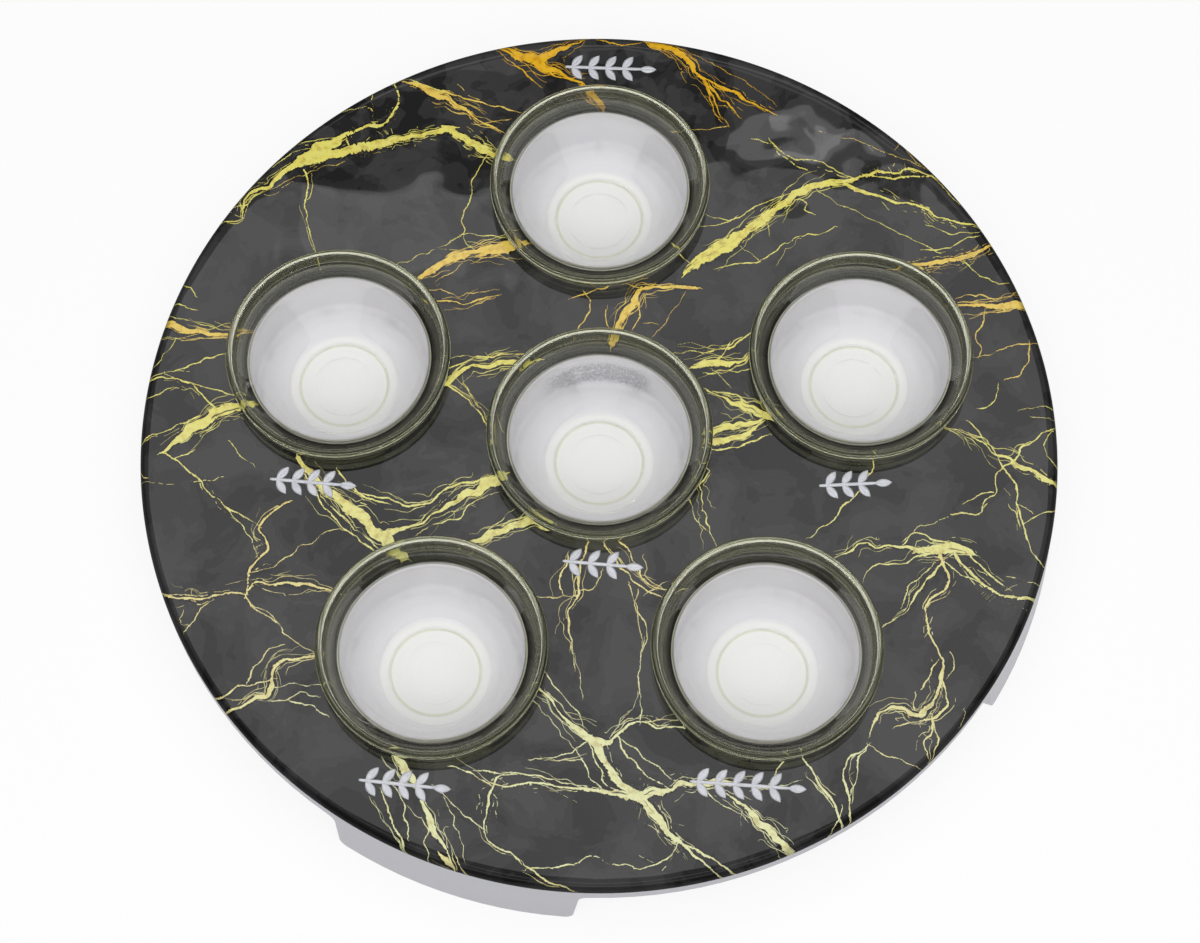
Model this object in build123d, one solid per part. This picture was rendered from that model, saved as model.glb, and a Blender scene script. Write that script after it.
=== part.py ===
from build123d import *

import os
from math import cos, radians, sin

# Seder plate: a round cast plate on four skirt feet, faced with a glossy marbled laminate.
# Six glass bowls stand loose in wells, one in the middle and five on a circle around it.
# Each bowl has a small silver sprig beside it. Millimetres, +Z up, table at z = 0, back of the plate at +Y.

# Bowls
BOWL_RIM_DIAMETER = 98.6
BOWL_BASE_DIAMETER = 48.0
BOWL_STAND_OUT = 10.5
BOWL_WALL = 3.0
BOWL_FLOOR = 5.5
RIM_LAND = 0.2
COLLAR_LEAN = 0.8
SHOULDER_OVERHANG = 9.0
SHOULDER_CLEARANCE = 0.3
SHOULDER_RISE = 2.0
SHOULDER_THICKNESS = 3.2
SHOULDER_ROUND = 1.6
HEEL_ROUND = 3.0
INSIDE_ROUND = 7.0
BASE_RING_WIDTH = 4.0
BASE_RING_DEPTH = 0.8
BASE_RING_ROUND = 0.3

# Wells, with the names of the outer ones clockwise from the back
OUTER_WELLS = ("back", "right", "front_right", "front_left", "left")
FIRST_WELL_ANGLE = 90.0
BOWL_GAP = 21.7
BOWL_SIDE_CLEARANCE = 1.3
WELL_DEPTH = 29.5
WELL_DRAFT = 1.0
WELL_CORNER = 4.0
WELL_WALL = 3.5
WELL_FLOOR = 3.5
WELL_ABOVE_TABLE = 4.0

# Plate
BORDER = 30.4
DISC_THICKNESS = 4.5
RIM_DEPTH = 12.0
RIM_WALL = 5.0
SIDE_FLARE = 3.8
CASTING_FILLET = 3.0
CUT_MARGIN = 5.0

# Laminate
LAMINATE_THICKNESS = 0.8
LAMINATE_SETBACK = 0.4
EDGE_ROUND = 3.6
EDGE_SKIRT = 0.4

# Skirt feet
FOOT_COUNT = 4
FOOT_TURN = -18.0
FOOT_WIDTH = 104.0
FOOT_END_SPLAY = 2.0
FOOT_CORNER = 4.0
FOOT_ROOT = 4.0

# Sprigs: shift to the right of the bowl's middle, turn in degrees and length
SPRIG_THICKNESS = 0.5
SPRIG_STEM_WIDTH = 1.7
SPRIG_LEAF_LENGTH = 8.0
SPRIG_LEAF_WIDTH = 3.8
SPRIG_LEAF_ANGLE = 52.0
SPRIG_LEAF_PITCH = 9.4
SPRIG_STALK = 3.0
SPRIG_TO_RIM = 8.5
SPRIGS = {
    "centre": (1.5, -5.0, 35.0),
    "back": (5.0, -2.0, 42.0),
    "right": (-3.4, 3.0, 32.0),
    "front_right": (-8.7, -4.0, 49.0),
    "front_left": (-10.3, -6.0, 39.0),
    "left": (-9.6, -5.0, 38.0),
}

# Heights and radii that follow from the driving sizes
rim_radius = BOWL_RIM_DIAMETER / 2
mouth_radius = rim_radius - SHOULDER_OVERHANG
ring_radius = BOWL_RIM_DIAMETER + BOWL_GAP
plate_radius = ring_radius + rim_radius + BORDER
well_floor = WELL_ABOVE_TABLE + WELL_FLOOR
plate_top = well_floor + WELL_DEPTH
cast_top = plate_top - LAMINATE_THICKNESS
disc_underside = cast_top - DISC_THICKNESS
rim_underside = plate_top - RIM_DEPTH
laminate_edge = plate_top - EDGE_ROUND - EDGE_SKIRT
cast_radius = plate_radius - LAMINATE_THICKNESS
cast_edge_round = EDGE_ROUND - LAMINATE_THICKNESS


def side_radius(height):
    """Radius of the casting's outer side, which flares evenly from the laminate's edge to the table."""
    return cast_radius + SIDE_FLARE * (laminate_edge - height) / laminate_edge


def rounded_outline(corners):
    """Face through (across, height, corner round) corners."""
    outline = make_face(Polyline(*[(across, height) for across, height, _ in corners], close=True))
    for across, height, corner_round in corners:
        if corner_round > 0:
            corner = outline.vertices().sort_by_distance((across, height))[0]
            outline = fillet(corner, corner_round)
    return outline


def turned(corners):
    """Solid of revolution about Z through (radius, height, corner round) corners."""
    return revolve(Plane.XZ * rounded_outline(corners), Axis.Z)


def well_places():
    """Well centres by the name of their bowl: the middle one, then clockwise from the back."""
    places = {"centre": (0.0, 0.0)}
    for index, name in enumerate(OUTER_WELLS):
        angle = radians(FIRST_WELL_ANGLE - index * 360 / len(OUTER_WELLS))
        places[name] = (ring_radius * cos(angle), ring_radius * sin(angle))
    return places


def foot_prism(angle):
    """Block that keeps one foot of the skirt: splayed ends, rounded bottom corners, filleted roots."""
    half_foot = FOOT_WIDTH / 2
    half_root = half_foot + FOOT_END_SPLAY
    half_top = half_root + 2 * FOOT_ROOT
    outline = rounded_outline([
        (half_top, rim_underside + CUT_MARGIN, 0),
        (half_top, rim_underside, 0),
        (half_root, rim_underside, FOOT_ROOT),
        (half_foot, 0, FOOT_CORNER),
        (-half_foot, 0, FOOT_CORNER),
        (-half_root, rim_underside, FOOT_ROOT),
        (-half_top, rim_underside, 0),
        (-half_top, rim_underside + CUT_MARGIN, 0),
    ])
    outward = (cos(radians(angle)), sin(radians(angle)), 0)
    sideways = (-sin(radians(angle)), cos(radians(angle)), 0)
    plane = Plane(origin=(0, 0, 0), x_dir=sideways, z_dir=outward)
    return extrude(plane * outline, amount=plate_radius + SIDE_FLARE + CUT_MARGIN)


def well_cup():
    """Outside of one well under the disc, flared into it by the casting fillet."""
    outer_top = mouth_radius + WELL_WALL
    outer_bottom = outer_top - WELL_DRAFT
    return turned([
        (0, cast_top - DISC_THICKNESS / 2, 0),
        (outer_top + 2 * CASTING_FILLET, cast_top - DISC_THICKNESS / 2, 0),
        (outer_top + 2 * CASTING_FILLET, disc_underside, 0),
        (outer_top, disc_underside, CASTING_FILLET),
        (outer_bottom, WELL_ABOVE_TABLE, WELL_CORNER),
        (0, WELL_ABOVE_TABLE, 0),
    ])


def well_hollow():
    """Space inside one well, drawn in towards its floor."""
    return turned([
        (0, plate_top, 0),
        (mouth_radius, plate_top, 0),
        (mouth_radius, cast_top, 0),
        (mouth_radius - WELL_DRAFT, well_floor, WELL_CORNER),
        (0, well_floor, 0),
    ])


def cast_base(places):
    """Disc, rim, four feet and six wells in one casting."""
    skirt = turned([
        (0, cast_top, 0),
        (cast_radius, cast_top, cast_edge_round),
        (cast_radius, laminate_edge, 0),
        (side_radius(0), 0, 0),
        (side_radius(0) - RIM_WALL, 0, 0),
        (side_radius(disc_underside) - RIM_WALL, disc_underside, CASTING_FILLET),
        (0, disc_underside, 0),
    ])
    band_outside = side_radius(0) + CUT_MARGIN
    band_inside = cast_radius - RIM_WALL - CUT_MARGIN
    gaps = turned([
        (band_inside, -CUT_MARGIN, 0),
        (band_outside, -CUT_MARGIN, 0),
        (band_outside, rim_underside, 0),
        (band_inside, rim_underside, 0),
    ])
    gaps -= [foot_prism(FOOT_TURN + index * 360 / FOOT_COUNT) for index in range(FOOT_COUNT)]
    casting = skirt - gaps
    cup = well_cup()
    hollow = well_hollow()
    casting += [Pos(x, y, 0) * cup for x, y in places]
    casting -= [Pos(x, y, 0) * hollow for x, y in places]
    return casting


def marble_laminate(places):
    """Thin facing over the disc, turned down over its rounded edge and open at each well."""
    facing = turned([
        (0, plate_top, 0),
        (plate_radius, plate_top, EDGE_ROUND),
        (plate_radius, laminate_edge, 0),
        (cast_radius, laminate_edge, 0),
        (cast_radius, cast_top, cast_edge_round),
        (0, cast_top, 0),
    ])
    opening = Cylinder(mouth_radius + LAMINATE_SETBACK, 2 * DISC_THICKNESS)
    return facing - [Pos(x, y, cast_top) * opening for x, y in places]


def glass_bowl():
    """Pressed bowl: thick ringed base, sloping side, a shoulder over the plate and an upright collar."""
    height = WELL_DEPTH + BOWL_STAND_OUT
    base_radius = BOWL_BASE_DIAMETER / 2
    hollow_radius = base_radius - BASE_RING_WIDTH
    rim_round = (BOWL_WALL - RIM_LAND) / 2
    collar_radius = rim_radius - COLLAR_LEAN
    body_radius = mouth_radius - BOWL_SIDE_CLEARANCE
    shoulder = WELL_DEPTH + SHOULDER_CLEARANCE
    slope = (body_radius - base_radius) / shoulder
    floor_radius = base_radius + slope * BOWL_FLOOR - BOWL_WALL
    return turned([
        (0, BASE_RING_DEPTH, 0),
        (hollow_radius, BASE_RING_DEPTH, BASE_RING_ROUND),
        (hollow_radius, 0, 0),
        (base_radius, 0, HEEL_ROUND),
        (body_radius, shoulder, SHOULDER_ROUND),
        (collar_radius, shoulder + SHOULDER_RISE, SHOULDER_ROUND),
        (rim_radius, height, rim_round),
        (rim_radius - BOWL_WALL, height, rim_round),
        (collar_radius - BOWL_WALL, shoulder + SHOULDER_RISE + SHOULDER_THICKNESS, SHOULDER_ROUND),
        (body_radius - BOWL_WALL, shoulder + SHOULDER_THICKNESS, SHOULDER_ROUND),
        (floor_radius, BOWL_FLOOR, INSIDE_ROUND),
        (0, BOWL_FLOOR, 0),
    ])


def sprig_place(well, well_x, well_y):
    """Middle of a sprig: in the border behind the back bowl, and just in front of each other bowl."""
    x = well_x + SPRIGS[well][0]
    if well == "back":
        return x, well_y + rim_radius + (BORDER - EDGE_ROUND) / 2
    return x, well_y - rim_radius - SPRIG_TO_RIM


def sprig(place, turn, length):
    """Silver sprig: a stalk with pairs of pointed leaves and one leaf at its tip."""
    half_width = SPRIG_LEAF_WIDTH / 2
    tip = (SPRIG_LEAF_LENGTH, 0)
    middle = SPRIG_LEAF_LENGTH / 2
    edges = [
        ThreePointArc((0, 0), (middle, half_width), tip),
        ThreePointArc(tip, (middle, -half_width), (0, 0)),
    ]
    leaf = make_face(edges)
    stem_length = length - SPRIG_LEAF_LENGTH + SPRIG_STEM_WIDTH
    stem = Pos(stem_length / 2, 0) * SlotOverall(stem_length, SPRIG_STEM_WIDTH)
    pairs = int(length / SPRIG_LEAF_PITCH)
    step = (length - SPRIG_LEAF_LENGTH - SPRIG_STALK) / pairs
    outline = stem + Pos(length - SPRIG_LEAF_LENGTH, 0) * leaf
    for index in range(pairs):
        node = Pos(SPRIG_STALK + index * step, 0)
        outline += node * Rot(0, 0, SPRIG_LEAF_ANGLE) * leaf
        outline += node * Rot(0, 0, -SPRIG_LEAF_ANGLE) * leaf
    laid = Pos(*place, plate_top) * Rot(0, 0, turn) * Pos(-length / 2, 0) * outline
    return extrude(laid, amount=SPRIG_THICKNESS, dir=(0, 0, 1))


os.makedirs("parts", exist_ok=True)
wells = well_places()
bowl = glass_bowl()
export_step(cast_base(wells.values()), "parts/cast_base.step")
export_step(marble_laminate(wells.values()), "parts/marble_laminate.step")
for well, (well_x, well_y) in wells.items():
    export_step(Pos(well_x, well_y, well_floor) * bowl, f"parts/bowl_{well}.step")
    place = sprig_place(well, well_x, well_y)
    export_step(sprig(place, *SPRIGS[well][1:]), f"parts/sprig_{well}.step")
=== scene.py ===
"""Looks of a seder plate: cast base, marbled facing with gold veins, glass bowls and silver sprigs."""

from functools import reduce

import bmesh
import bpy
import numpy as np
from mathutils import Matrix, Vector


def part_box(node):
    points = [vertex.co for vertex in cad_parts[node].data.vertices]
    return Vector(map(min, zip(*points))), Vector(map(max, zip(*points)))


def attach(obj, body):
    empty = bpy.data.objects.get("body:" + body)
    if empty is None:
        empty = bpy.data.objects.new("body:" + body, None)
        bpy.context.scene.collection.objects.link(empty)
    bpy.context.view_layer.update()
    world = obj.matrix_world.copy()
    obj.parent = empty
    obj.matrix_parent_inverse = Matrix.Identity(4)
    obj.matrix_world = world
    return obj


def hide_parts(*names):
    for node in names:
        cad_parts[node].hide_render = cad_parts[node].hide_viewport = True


bl_info = {
    "name": "Seder Plate",
    "version": (1, 0, 0),
    "blender": (4, 5, 0),
    "location": "View3D > Sidebar > Seder Plate",
    "description": "Builds the looks of a marbled seder plate with glass bowls around its CAD frame",
    "category": "Object",
}

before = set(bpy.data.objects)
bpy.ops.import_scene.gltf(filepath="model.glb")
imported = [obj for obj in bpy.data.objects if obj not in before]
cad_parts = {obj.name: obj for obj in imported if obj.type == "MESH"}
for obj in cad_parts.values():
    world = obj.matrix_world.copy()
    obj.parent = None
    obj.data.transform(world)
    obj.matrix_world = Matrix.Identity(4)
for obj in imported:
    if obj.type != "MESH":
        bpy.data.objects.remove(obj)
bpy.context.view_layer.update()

MM = 0.001
WELL_NAMES = ("centre", "back", "right", "front_right", "front_left", "left")
FACING_LOW, FACING_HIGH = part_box("marble_laminate")
BOWL_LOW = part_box("bowl_centre")[0]


def box_middle(node):
    """Middle of a CAD node's box, in metres."""
    low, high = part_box(node)
    return (low + high) / 2


WELLS = {name: box_middle(f"bowl_{name}") for name in WELL_NAMES}

# Tones of the veins: deep orange at the back edge, gold, lemon, and pale cream at the front
ORANGE, GOLD, LEMON, CREAM = 0.0, 0.33, 0.67, 1.0

# Veins of the marble: tone, half-widths spread evenly along the route, and the route, in mm on the top
VEINS = (
    # upper left
    (LEMON, (0.7, 0.6, 0.9, 1.4, 1.5, 3.2), ((-170, 104.5), (-161, 106), (-160, 113), (-158, 118.5),
     (-150, 121.5), (-145, 127), (-139, 132.5), (-133, 136))),
    (LEMON, (3.0, 4.6, 4.2, 3.0), ((-137, 134), (-131, 138), (-125, 142), (-119, 145))),
    (LEMON, (3.4, 3.2, 3.0, 2.4, 1.6, 1.4, 2.2), ((-131, 136), (-120, 138.5), (-110, 141.5), (-100, 144),
     (-90, 146.5), (-80, 148.5), (-72, 151), (-67, 152))),
    (LEMON, (2.2, 2.0, 2.2, 2.0), ((-70, 152), (-63, 148), (-56, 143), (-49, 139), (-41, 136))),
    (LEMON, (2.0, 1.3, 1.1, 0.9, 0.6), ((-121, 145), (-112, 150), (-104, 153), (-97, 155), (-94, 160),
     (-92, 166), (-92.5, 171), (-94, 175))),
    (LEMON, (0.4, 0.4, 0.3), ((-165, 112), (-160, 112.5), (-156, 116.5), (-151, 120))),
    (LEMON, (0.4, 0.5, 0.4), ((-148, 132), (-143, 136), (-138, 140), (-130, 141))),
    (LEMON, (0.3, 0.4, 0.3), ((-136, 144), (-128, 146), (-120, 147), (-112, 152))),
    (LEMON, (0.7, 0.6, 0.6, 0.4, 0.3), ((-133, 130), (-131.5, 122), (-132.5, 114), (-131, 105), (-129, 97),
     (-127, 90), (-124, 80))),
    (LEMON, (0.35, 0.35), ((-130, 128), (-129.5, 122), (-131, 116))),
    (GOLD, (0.22, 0.22), ((-154, 117.5), (-141, 125), (-130, 130), (-118, 134), (-100, 139.5))),
    (LEMON, (0.3, 0.45, 0.3), ((-122, 160), (-112, 161.5), (-104, 162), (-103, 157), (-102, 154))),
    (LEMON, (0.3, 0.4), ((-104, 170), (-103.5, 163))),
    # back left
    (LEMON, (0.5, 0.6, 0.5), ((-95, 174.5), (-88, 177.5), (-81, 174), (-72, 171))),
    (GOLD, (0.8, 1.8, 2.4, 1.6, 0.9, 0.8, 0.5), ((-90, 176), (-82, 173), (-76, 170), (-69, 166.5),
     (-63, 162.5), (-56, 157), (-49, 152.5), (-43, 149.5))),
    (GOLD, (0.9, 0.8, 0.7, 0.6), ((-72, 171), (-64, 168), (-55, 165), (-46, 163), (-36, 160))),
    (GOLD, (0.3, 0.35, 0.25), ((-58, 154), (-50, 155), (-41, 156.5))),
    (LEMON, (0.5, 0.4, 0.4, 0.4, 0.3), ((-50, 140), (-53, 134), (-57.5, 126), (-58, 118), (-61, 108),
     (-61.5, 99), (-66, 95.5))),
    (LEMON, (0.35, 0.3), ((-61, 98.5), (-52, 98), (-43, 97))),
    (LEMON, (0.3, 0.35, 0.3), ((-92, 83.5), (-84, 86), (-76, 90), (-69, 93.5), (-62, 98))),
    (LEMON, (0.3, 0.3), ((-61, 98), (-59, 93), (-54, 90))),
    # back edge
    (ORANGE, (1.6, 3.4, 3.0, 1.9, 1.2, 0.8), ((-46, 194), (-37, 189.5), (-30, 186.5), (-22, 182),
     (-14, 178), (-7, 174.5))),
    (ORANGE, (0.5, 1.0, 1.9, 2.6), ((-4, 200), (-12, 196), (-20, 191.5), (-28, 187))),
    (ORANGE, (0.5, 0.6, 0.6, 0.4), ((-47, 192), (-42, 187), (-36, 182.5), (-32, 178), (-27, 173.5))),
    (ORANGE, (0.9, 0.7, 0.5), ((-30, 185), (-23, 180.5), (-15, 177.5), (-9, 179))),
    (ORANGE, (1.0, 2.4, 2.4), ((-8, 174), (-4, 169.5), (1, 163))),
    (ORANGE, (0.4, 0.5, 0.4), ((-2, 198.5), (8, 195.5), (19, 196.5))),
    (ORANGE, (0.8, 1.9, 2.3, 1.7, 1.3, 1.0, 0.8, 0.5, 0.3), ((19, 199), (28, 195), (35, 192.5),
     (40.5, 187), (45, 180.5), (49, 174.5), (52, 167), (54.5, 160), (58.5, 154))),
    (ORANGE, (1.0, 1.0, 1.4, 0.8, 0.35), ((46.5, 178.5), (55, 174), (62, 170), (68, 166.5), (74, 162.5),
     (80, 159.5))),
    (ORANGE, (0.7, 0.8, 0.7, 0.3), ((50, 174), (55, 168.5), (60, 163.5), (63.5, 158))),
    (ORANGE, (0.5, 0.5, 0.3), ((47, 177), (50, 170), (51, 163), (55, 156))),
    (ORANGE, (0.2, 0.25, 0.18), ((43, 190.5), (55, 183.5), (68, 175.5), (80, 165))),
    (GOLD, (0.3, 0.35, 0.3), ((33, 150), (42, 151.5), (50, 152), (58, 153.5))),
    # upper right
    (LEMON, (0.4, 0.7, 0.6, 0.4), ((70, 147), (77.5, 144.5), (82, 139), (88, 134.5), (94, 131))),
    (LEMON, (0.5, 0.6, 0.5, 0.4), ((77, 146.5), (83, 140), (88, 137), (96, 136.5), (104, 133),
     (109, 129.5), (115, 127))),
    (LEMON, (1.4, 3.4, 4.0, 3.8, 3.0, 2.4, 1.9, 2.0, 2.2, 2.2, 1.7), ((38, 80), (44, 86), (51, 90),
     (58, 94.5), (66, 100.5), (75, 107.5), (83, 114.5), (90, 120.5), (97, 124), (105, 125), (113, 126))),
    (LEMON, (1.5, 1.3, 1.0, 0.9, 0.9, 1.0), ((113, 126), (120, 128.5), (128, 131), (135, 130),
     (140, 132.5), (146, 130), (153, 127))),
    (LEMON, (0.9, 0.8, 0.5), ((120, 129.5), (128, 127.5), (138, 128), (150, 128.5))),
    (LEMON, (0.6, 0.6, 0.5), ((151, 128), (156, 121.5), (162, 115))),
    (LEMON, (1.3, 1.2, 1.0, 0.9, 0.8, 0.7), ((110, 125), (117, 121), (126, 118), (135, 115), (143, 114),
     (149, 109.5), (156, 106.5), (164, 105), (172, 103.5))),
    (LEMON, (0.3, 0.3), ((98, 121), (106, 115.5), (117, 109.5), (128, 103.5), (140, 97), (152, 90))),
    (LEMON, (0.4, 0.5, 0.35), ((48, 108.5), (57, 106), (65, 109), (72, 114), (80, 117), (88, 121))),
    (LEMON, (0.4, 0.4), ((46, 103), (54, 103.5), (61, 107.5))),
    (LEMON, (0.7, 0.6, 0.4), ((85, 113), (91, 116.5), (94, 114.5), (92, 111), (96, 109.5))),
    (LEMON, (0.4, 0.5, 0.6, 0.5, 0.6, 0.4), ((52, 82), (61, 84.5), (71, 85.5), (77, 90), (84, 95),
     (91, 98.5), (99, 99), (105, 102.5))),
    (LEMON, (0.25, 0.3), ((63, 93), (71, 86.5))),
    (LEMON, (0.4, 0.3), ((70, 101), (75, 104.5), (76, 99.5))),
    (LEMON, (0.8, 0.4), ((33, 93), (38, 86.5), (43, 83))),
    (GOLD, (0.25, 0.3, 0.25), ((100, 151), (110, 148), (120, 145), (130, 140), (140, 136), (148, 132))),
    (GOLD, (0.3, 0.4, 0.3), ((134, 142), (136.5, 146), (140, 140.5), (144, 135), (149, 131.5))),
    (LEMON, (0.35, 0.4, 0.3), ((147, 104), (155, 101), (164, 100), (172, 102))),
    (LEMON, (0.5, 0.6, 0.4), ((145, 91.5), (153, 92), (160, 94), (163.5, 97.5), (169, 98.5))),
    # right
    (GOLD, (0.7, 1.1, 1.4, 1.5, 1.6, 1.4, 1.2), ((130, 82), (138, 84.5), (146, 84.5), (154, 86), (161, 88),
     (168, 89.5), (172, 92.5), (178, 96))),
    (LEMON, (0.4, 0.5, 0.4), ((163, 85.5), (167, 81), (172, 78), (177, 75.5), (181, 75.5))),
    (GOLD, (0.35, 0.5, 0.5, 0.4), ((159, 68), (167, 70), (175, 68), (181, 68.5), (188, 73))),
    (GOLD, (1.0, 1.4, 1.7, 2.0, 2.4), ((158, 64.5), (166, 64.5), (174, 64), (181, 64.5), (193, 65.5))),
    (GOLD, (0.5, 0.5, 0.4), ((171, 62), (169.5, 55), (166.5, 49), (168.5, 44), (167.5, 40))),
    (GOLD, (0.4, 0.5, 0.55), ((167, 39.5), (175, 42), (183, 45), (196, 47))),
    (GOLD, (0.5, 0.6, 0.4), ((190, 46), (189, 38), (185.5, 31.5), (179, 29))),
    (LEMON, (0.3, 0.6, 0.3), ((175, 26), (173.5, 20), (170, 16), (166, 15))),
    (LEMON, (0.3, 0.5), ((184, 14), (192, 15.5), (202, 15))),
    (LEMON, (0.2, 0.3), ((189, 11), (200, 10))),
    (LEMON, (0.4, 0.5, 0.5, 0.7, 1.1, 1.5, 1.6, 1.4), ((148, 6.5), (155, 5), (163, 1.5), (170, -4.5),
     (178, -9), (185, -13), (192, -17.5), (201, -22))),
    (LEMON, (0.4, 0.5, 0.5), ((161, 9), (166, 3), (171, -4), (175, -12))),
    (LEMON, (0.5, 0.6, 0.7, 0.6, 0.5), ((202, 7.5), (191, 1.5), (184, -4), (179, -10.5), (174.5, -13),
     (172, -18), (171, -24), (167, -28), (165, -33))),
    (LEMON, (0.5, 0.5), ((198, 5), (194, -1), (194, -6), (201, -13))),
    (LEMON, (0.6, 0.7, 0.7, 0.5), ((175.5, -13), (179, -18), (181, -25), (181, -35), (184, -43),
     (185.5, -51), (191, -58))),
    (LEMON, (0.6, 0.4), ((170, -24), (163.5, -26), (157.5, -29.5))),
    (LEMON, (0.5, 0.7, 0.4), ((167, -30), (164, -34), (158.5, -34), (152, -34.5))),
    (LEMON, (0.3, 0.35, 0.3), ((150, -36), (142, -39), (135, -42), (131, -46.5))),
    (LEMON, (0.5, 0.6, 0.4), ((202, -31), (191, -34), (183, -38.5))),
    (LEMON, (0.3, 0.35), ((182, -30), (187, -33.5))),
    # lower right
    (LEMON, (1.0, 2.2, 3.0, 2.5, 1.1), ((136, -51.5), (144, -51), (150, -49.5), (156, -50.5),
     (161, -52.5))),
    (LEMON, (0.5, 0.9, 0.8, 0.9, 0.9, 1.0), ((101, -54.5), (107, -51.5), (113, -48), (120, -49.5),
     (128, -49), (137, -51))),
    (LEMON, (0.5, 0.8, 0.7), ((131, -48), (133.5, -44.5), (140, -44), (146, -46.5), (151, -48))),
    (LEMON, (0.4, 0.6, 0.6, 0.8), ((113, -64.5), (116, -59), (122, -57), (130, -57), (136.5, -54),
     (143, -52.5))),
    (LEMON, (0.9, 0.7, 0.6), ((158, -52), (163, -57.5), (168, -62.5), (173, -67.5), (176, -69))),
    (LEMON, (1.0, 1.0, 1.0, 1.1), ((153, -53), (158, -60), (165, -66.5), (172, -71), (178, -72),
     (190, -73.5))),
    (LEMON, (0.5, 0.6, 0.4), ((149, -57), (156, -63), (164, -66.5), (171, -70))),
    (LEMON, (0.3, 0.35), ((174, -63), (182, -64.5), (192, -67))),
    (GOLD, (1.2, 0.9, 0.8, 0.8, 0.9, 1.1), ((146, -52), (148, -59), (150, -65.5), (147.5, -69.5),
     (142, -72), (139, -76.5), (139.5, -83), (140.5, -89), (143, -95), (145.5, -101), (144.5, -108))),
    (LEMON, (0.9, 0.8, 0.7, 0.5), ((147, -57), (141, -63.5), (136, -70), (132, -77), (127, -81.5),
     (120, -85.5))),
    (LEMON, (0.5, 0.6, 0.4), ((143, -57.5), (136.5, -64), (132, -67.5), (131, -72.5), (129, -76))),
    (LEMON, (0.7, 0.5), ((119.5, -7), (119, -13), (115, -18))),
    (LEMON, (0.6, 0.7, 0.4, 0.3), ((112.5, -24), (106, -30.5), (102, -36), (95, -41.5), (90, -45.5))),
    # front right
    (GOLD, (1.0, 1.2, 1.4, 1.7, 1.3, 1.0, 0.8, 0.5), ((144.5, -106), (142.5, -115), (139, -121),
     (134.5, -125), (129.5, -122.5), (124, -121), (118.5, -123.5), (115, -128.5), (113.5, -133))),
    (GOLD, (0.6, 0.7, 0.5), ((143, -101), (139.5, -107), (136.5, -112.5))),
    (GOLD, (0.5, 0.6), ((133.5, -115.5), (132.5, -121))),
    (GOLD, (0.7, 0.9, 0.8), ((145, -109), (146.5, -119), (142.5, -124.5), (136, -127))),
    (GOLD, (0.6, 0.4), ((137, -126.5), (130.5, -128), (124.5, -129.5))),
    (GOLD, (0.9, 0.8, 0.5), ((140, -126), (139.5, -131.5), (136, -135.5), (137.5, -142))),
    (GOLD, (0.6, 0.7, 0.5), ((140.5, -128), (141.5, -136.5), (139, -146))),
    (GOLD, (0.4, 0.4), ((149, -97), (150.5, -102), (147, -108))),
    (CREAM, (0.5, 0.7, 0.8, 0.7, 0.6), ((113, -137.5), (108.5, -141), (103.5, -143.5), (102, -149),
     (103.5, -157), (104, -165), (105, -174))),
    (CREAM, (0.5, 0.7, 0.4), ((112, -138.5), (108, -146.5), (107, -153.5), (104.5, -159))),
    (GOLD, (0.5, 0.5, 0.35), ((114, -138), (120, -142), (128, -145), (137, -149))),
    (CREAM, (0.5, 0.8, 0.9, 0.8), ((84.5, -141.5), (88, -148), (92, -155), (96.5, -161), (99, -167),
     (102, -176))),
    (CREAM, (0.5, 0.5), ((101, -165), (99, -170), (96, -178))),
    (GOLD, (0.4, 0.4), ((154, -123), (152, -129))),
    # front
    (CREAM, (1.0, 0.9, 0.9, 1.1, 1.7, 2.5), ((-25.5, -113), (-20, -119), (-16, -125), (-11, -129.5),
     (-7.5, -132), (-4, -135))),
    (CREAM, (2.4, 1.8, 1.8, 2.1, 3.0, 2.4, 1.7, 1.2, 1.0, 0.7, 0.8), ((-4, -135), (0, -141), (3.5, -147),
     (8, -153), (13, -158), (18, -161.5), (22, -166.5), (27, -173), (33, -179.5), (40, -185.5),
     (51, -195))),
    (CREAM, (1.0, 0.7, 0.8), ((32, -179), (40, -182.5), (48, -187), (57, -194))),
    (CREAM, (0.6, 1.0, 2.4, 2.6, 2.0, 1.4, 1.5, 1.7, 1.3, 1.0, 0.6), ((-5, -156.5), (3, -158), (11, -159),
     (17, -159.5), (23, -158.5), (29, -156.5), (36, -155), (44, -154), (52, -153.5), (60, -155),
     (69, -156.5))),
    (CREAM, (2.0, 1.0, 0.8, 0.7, 0.6), ((-3, -135), (4, -136.5), (8, -133), (12, -129.5), (16, -127.5),
     (24, -130), (35, -130))),
    (GOLD, (0.4, 0.4, 0.3), ((15, -128), (24, -127), (35, -127.5))),
    (CREAM, (0.5, 0.55, 0.5), ((19, -92), (17.5, -100), (17, -110), (17.5, -120), (17, -128))),
    (CREAM, (0.6, 0.6, 0.5), ((8, -134), (10.5, -140.5), (16, -147), (23, -153), (29, -156.5))),
    (CREAM, (0.4, 0.5, 0.4), ((10, -136), (18, -142), (25, -148), (31, -153))),
    (CREAM, (0.7, 0.5, 0.4), ((-4, -138), (-1, -146), (1, -152), (6, -157))),
    (CREAM, (0.6, 0.5, 0.35), ((-22, -107.5), (-17, -114.5), (-11.5, -121), (-8, -126), (-6.5, -131))),
    (CREAM, (0.3, 0.3), ((-11, -97), (-8.5, -106), (-7, -117))),
    (CREAM, (0.3, 0.35), ((-28, -118), (-20, -127.5), (-14, -135), (-10, -140))),
    (CREAM, (0.4, 0.6, 0.7), ((-29, -144.5), (-20, -143), (-12, -141), (-6, -137))),
    (CREAM, (0.4, 0.5), ((-24, -143), (-15, -144.5), (-8.5, -144))),
    (CREAM, (0.5, 0.6, 0.5), ((-9.5, -140), (-6, -147), (-2, -153.5), (1, -157))),
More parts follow.
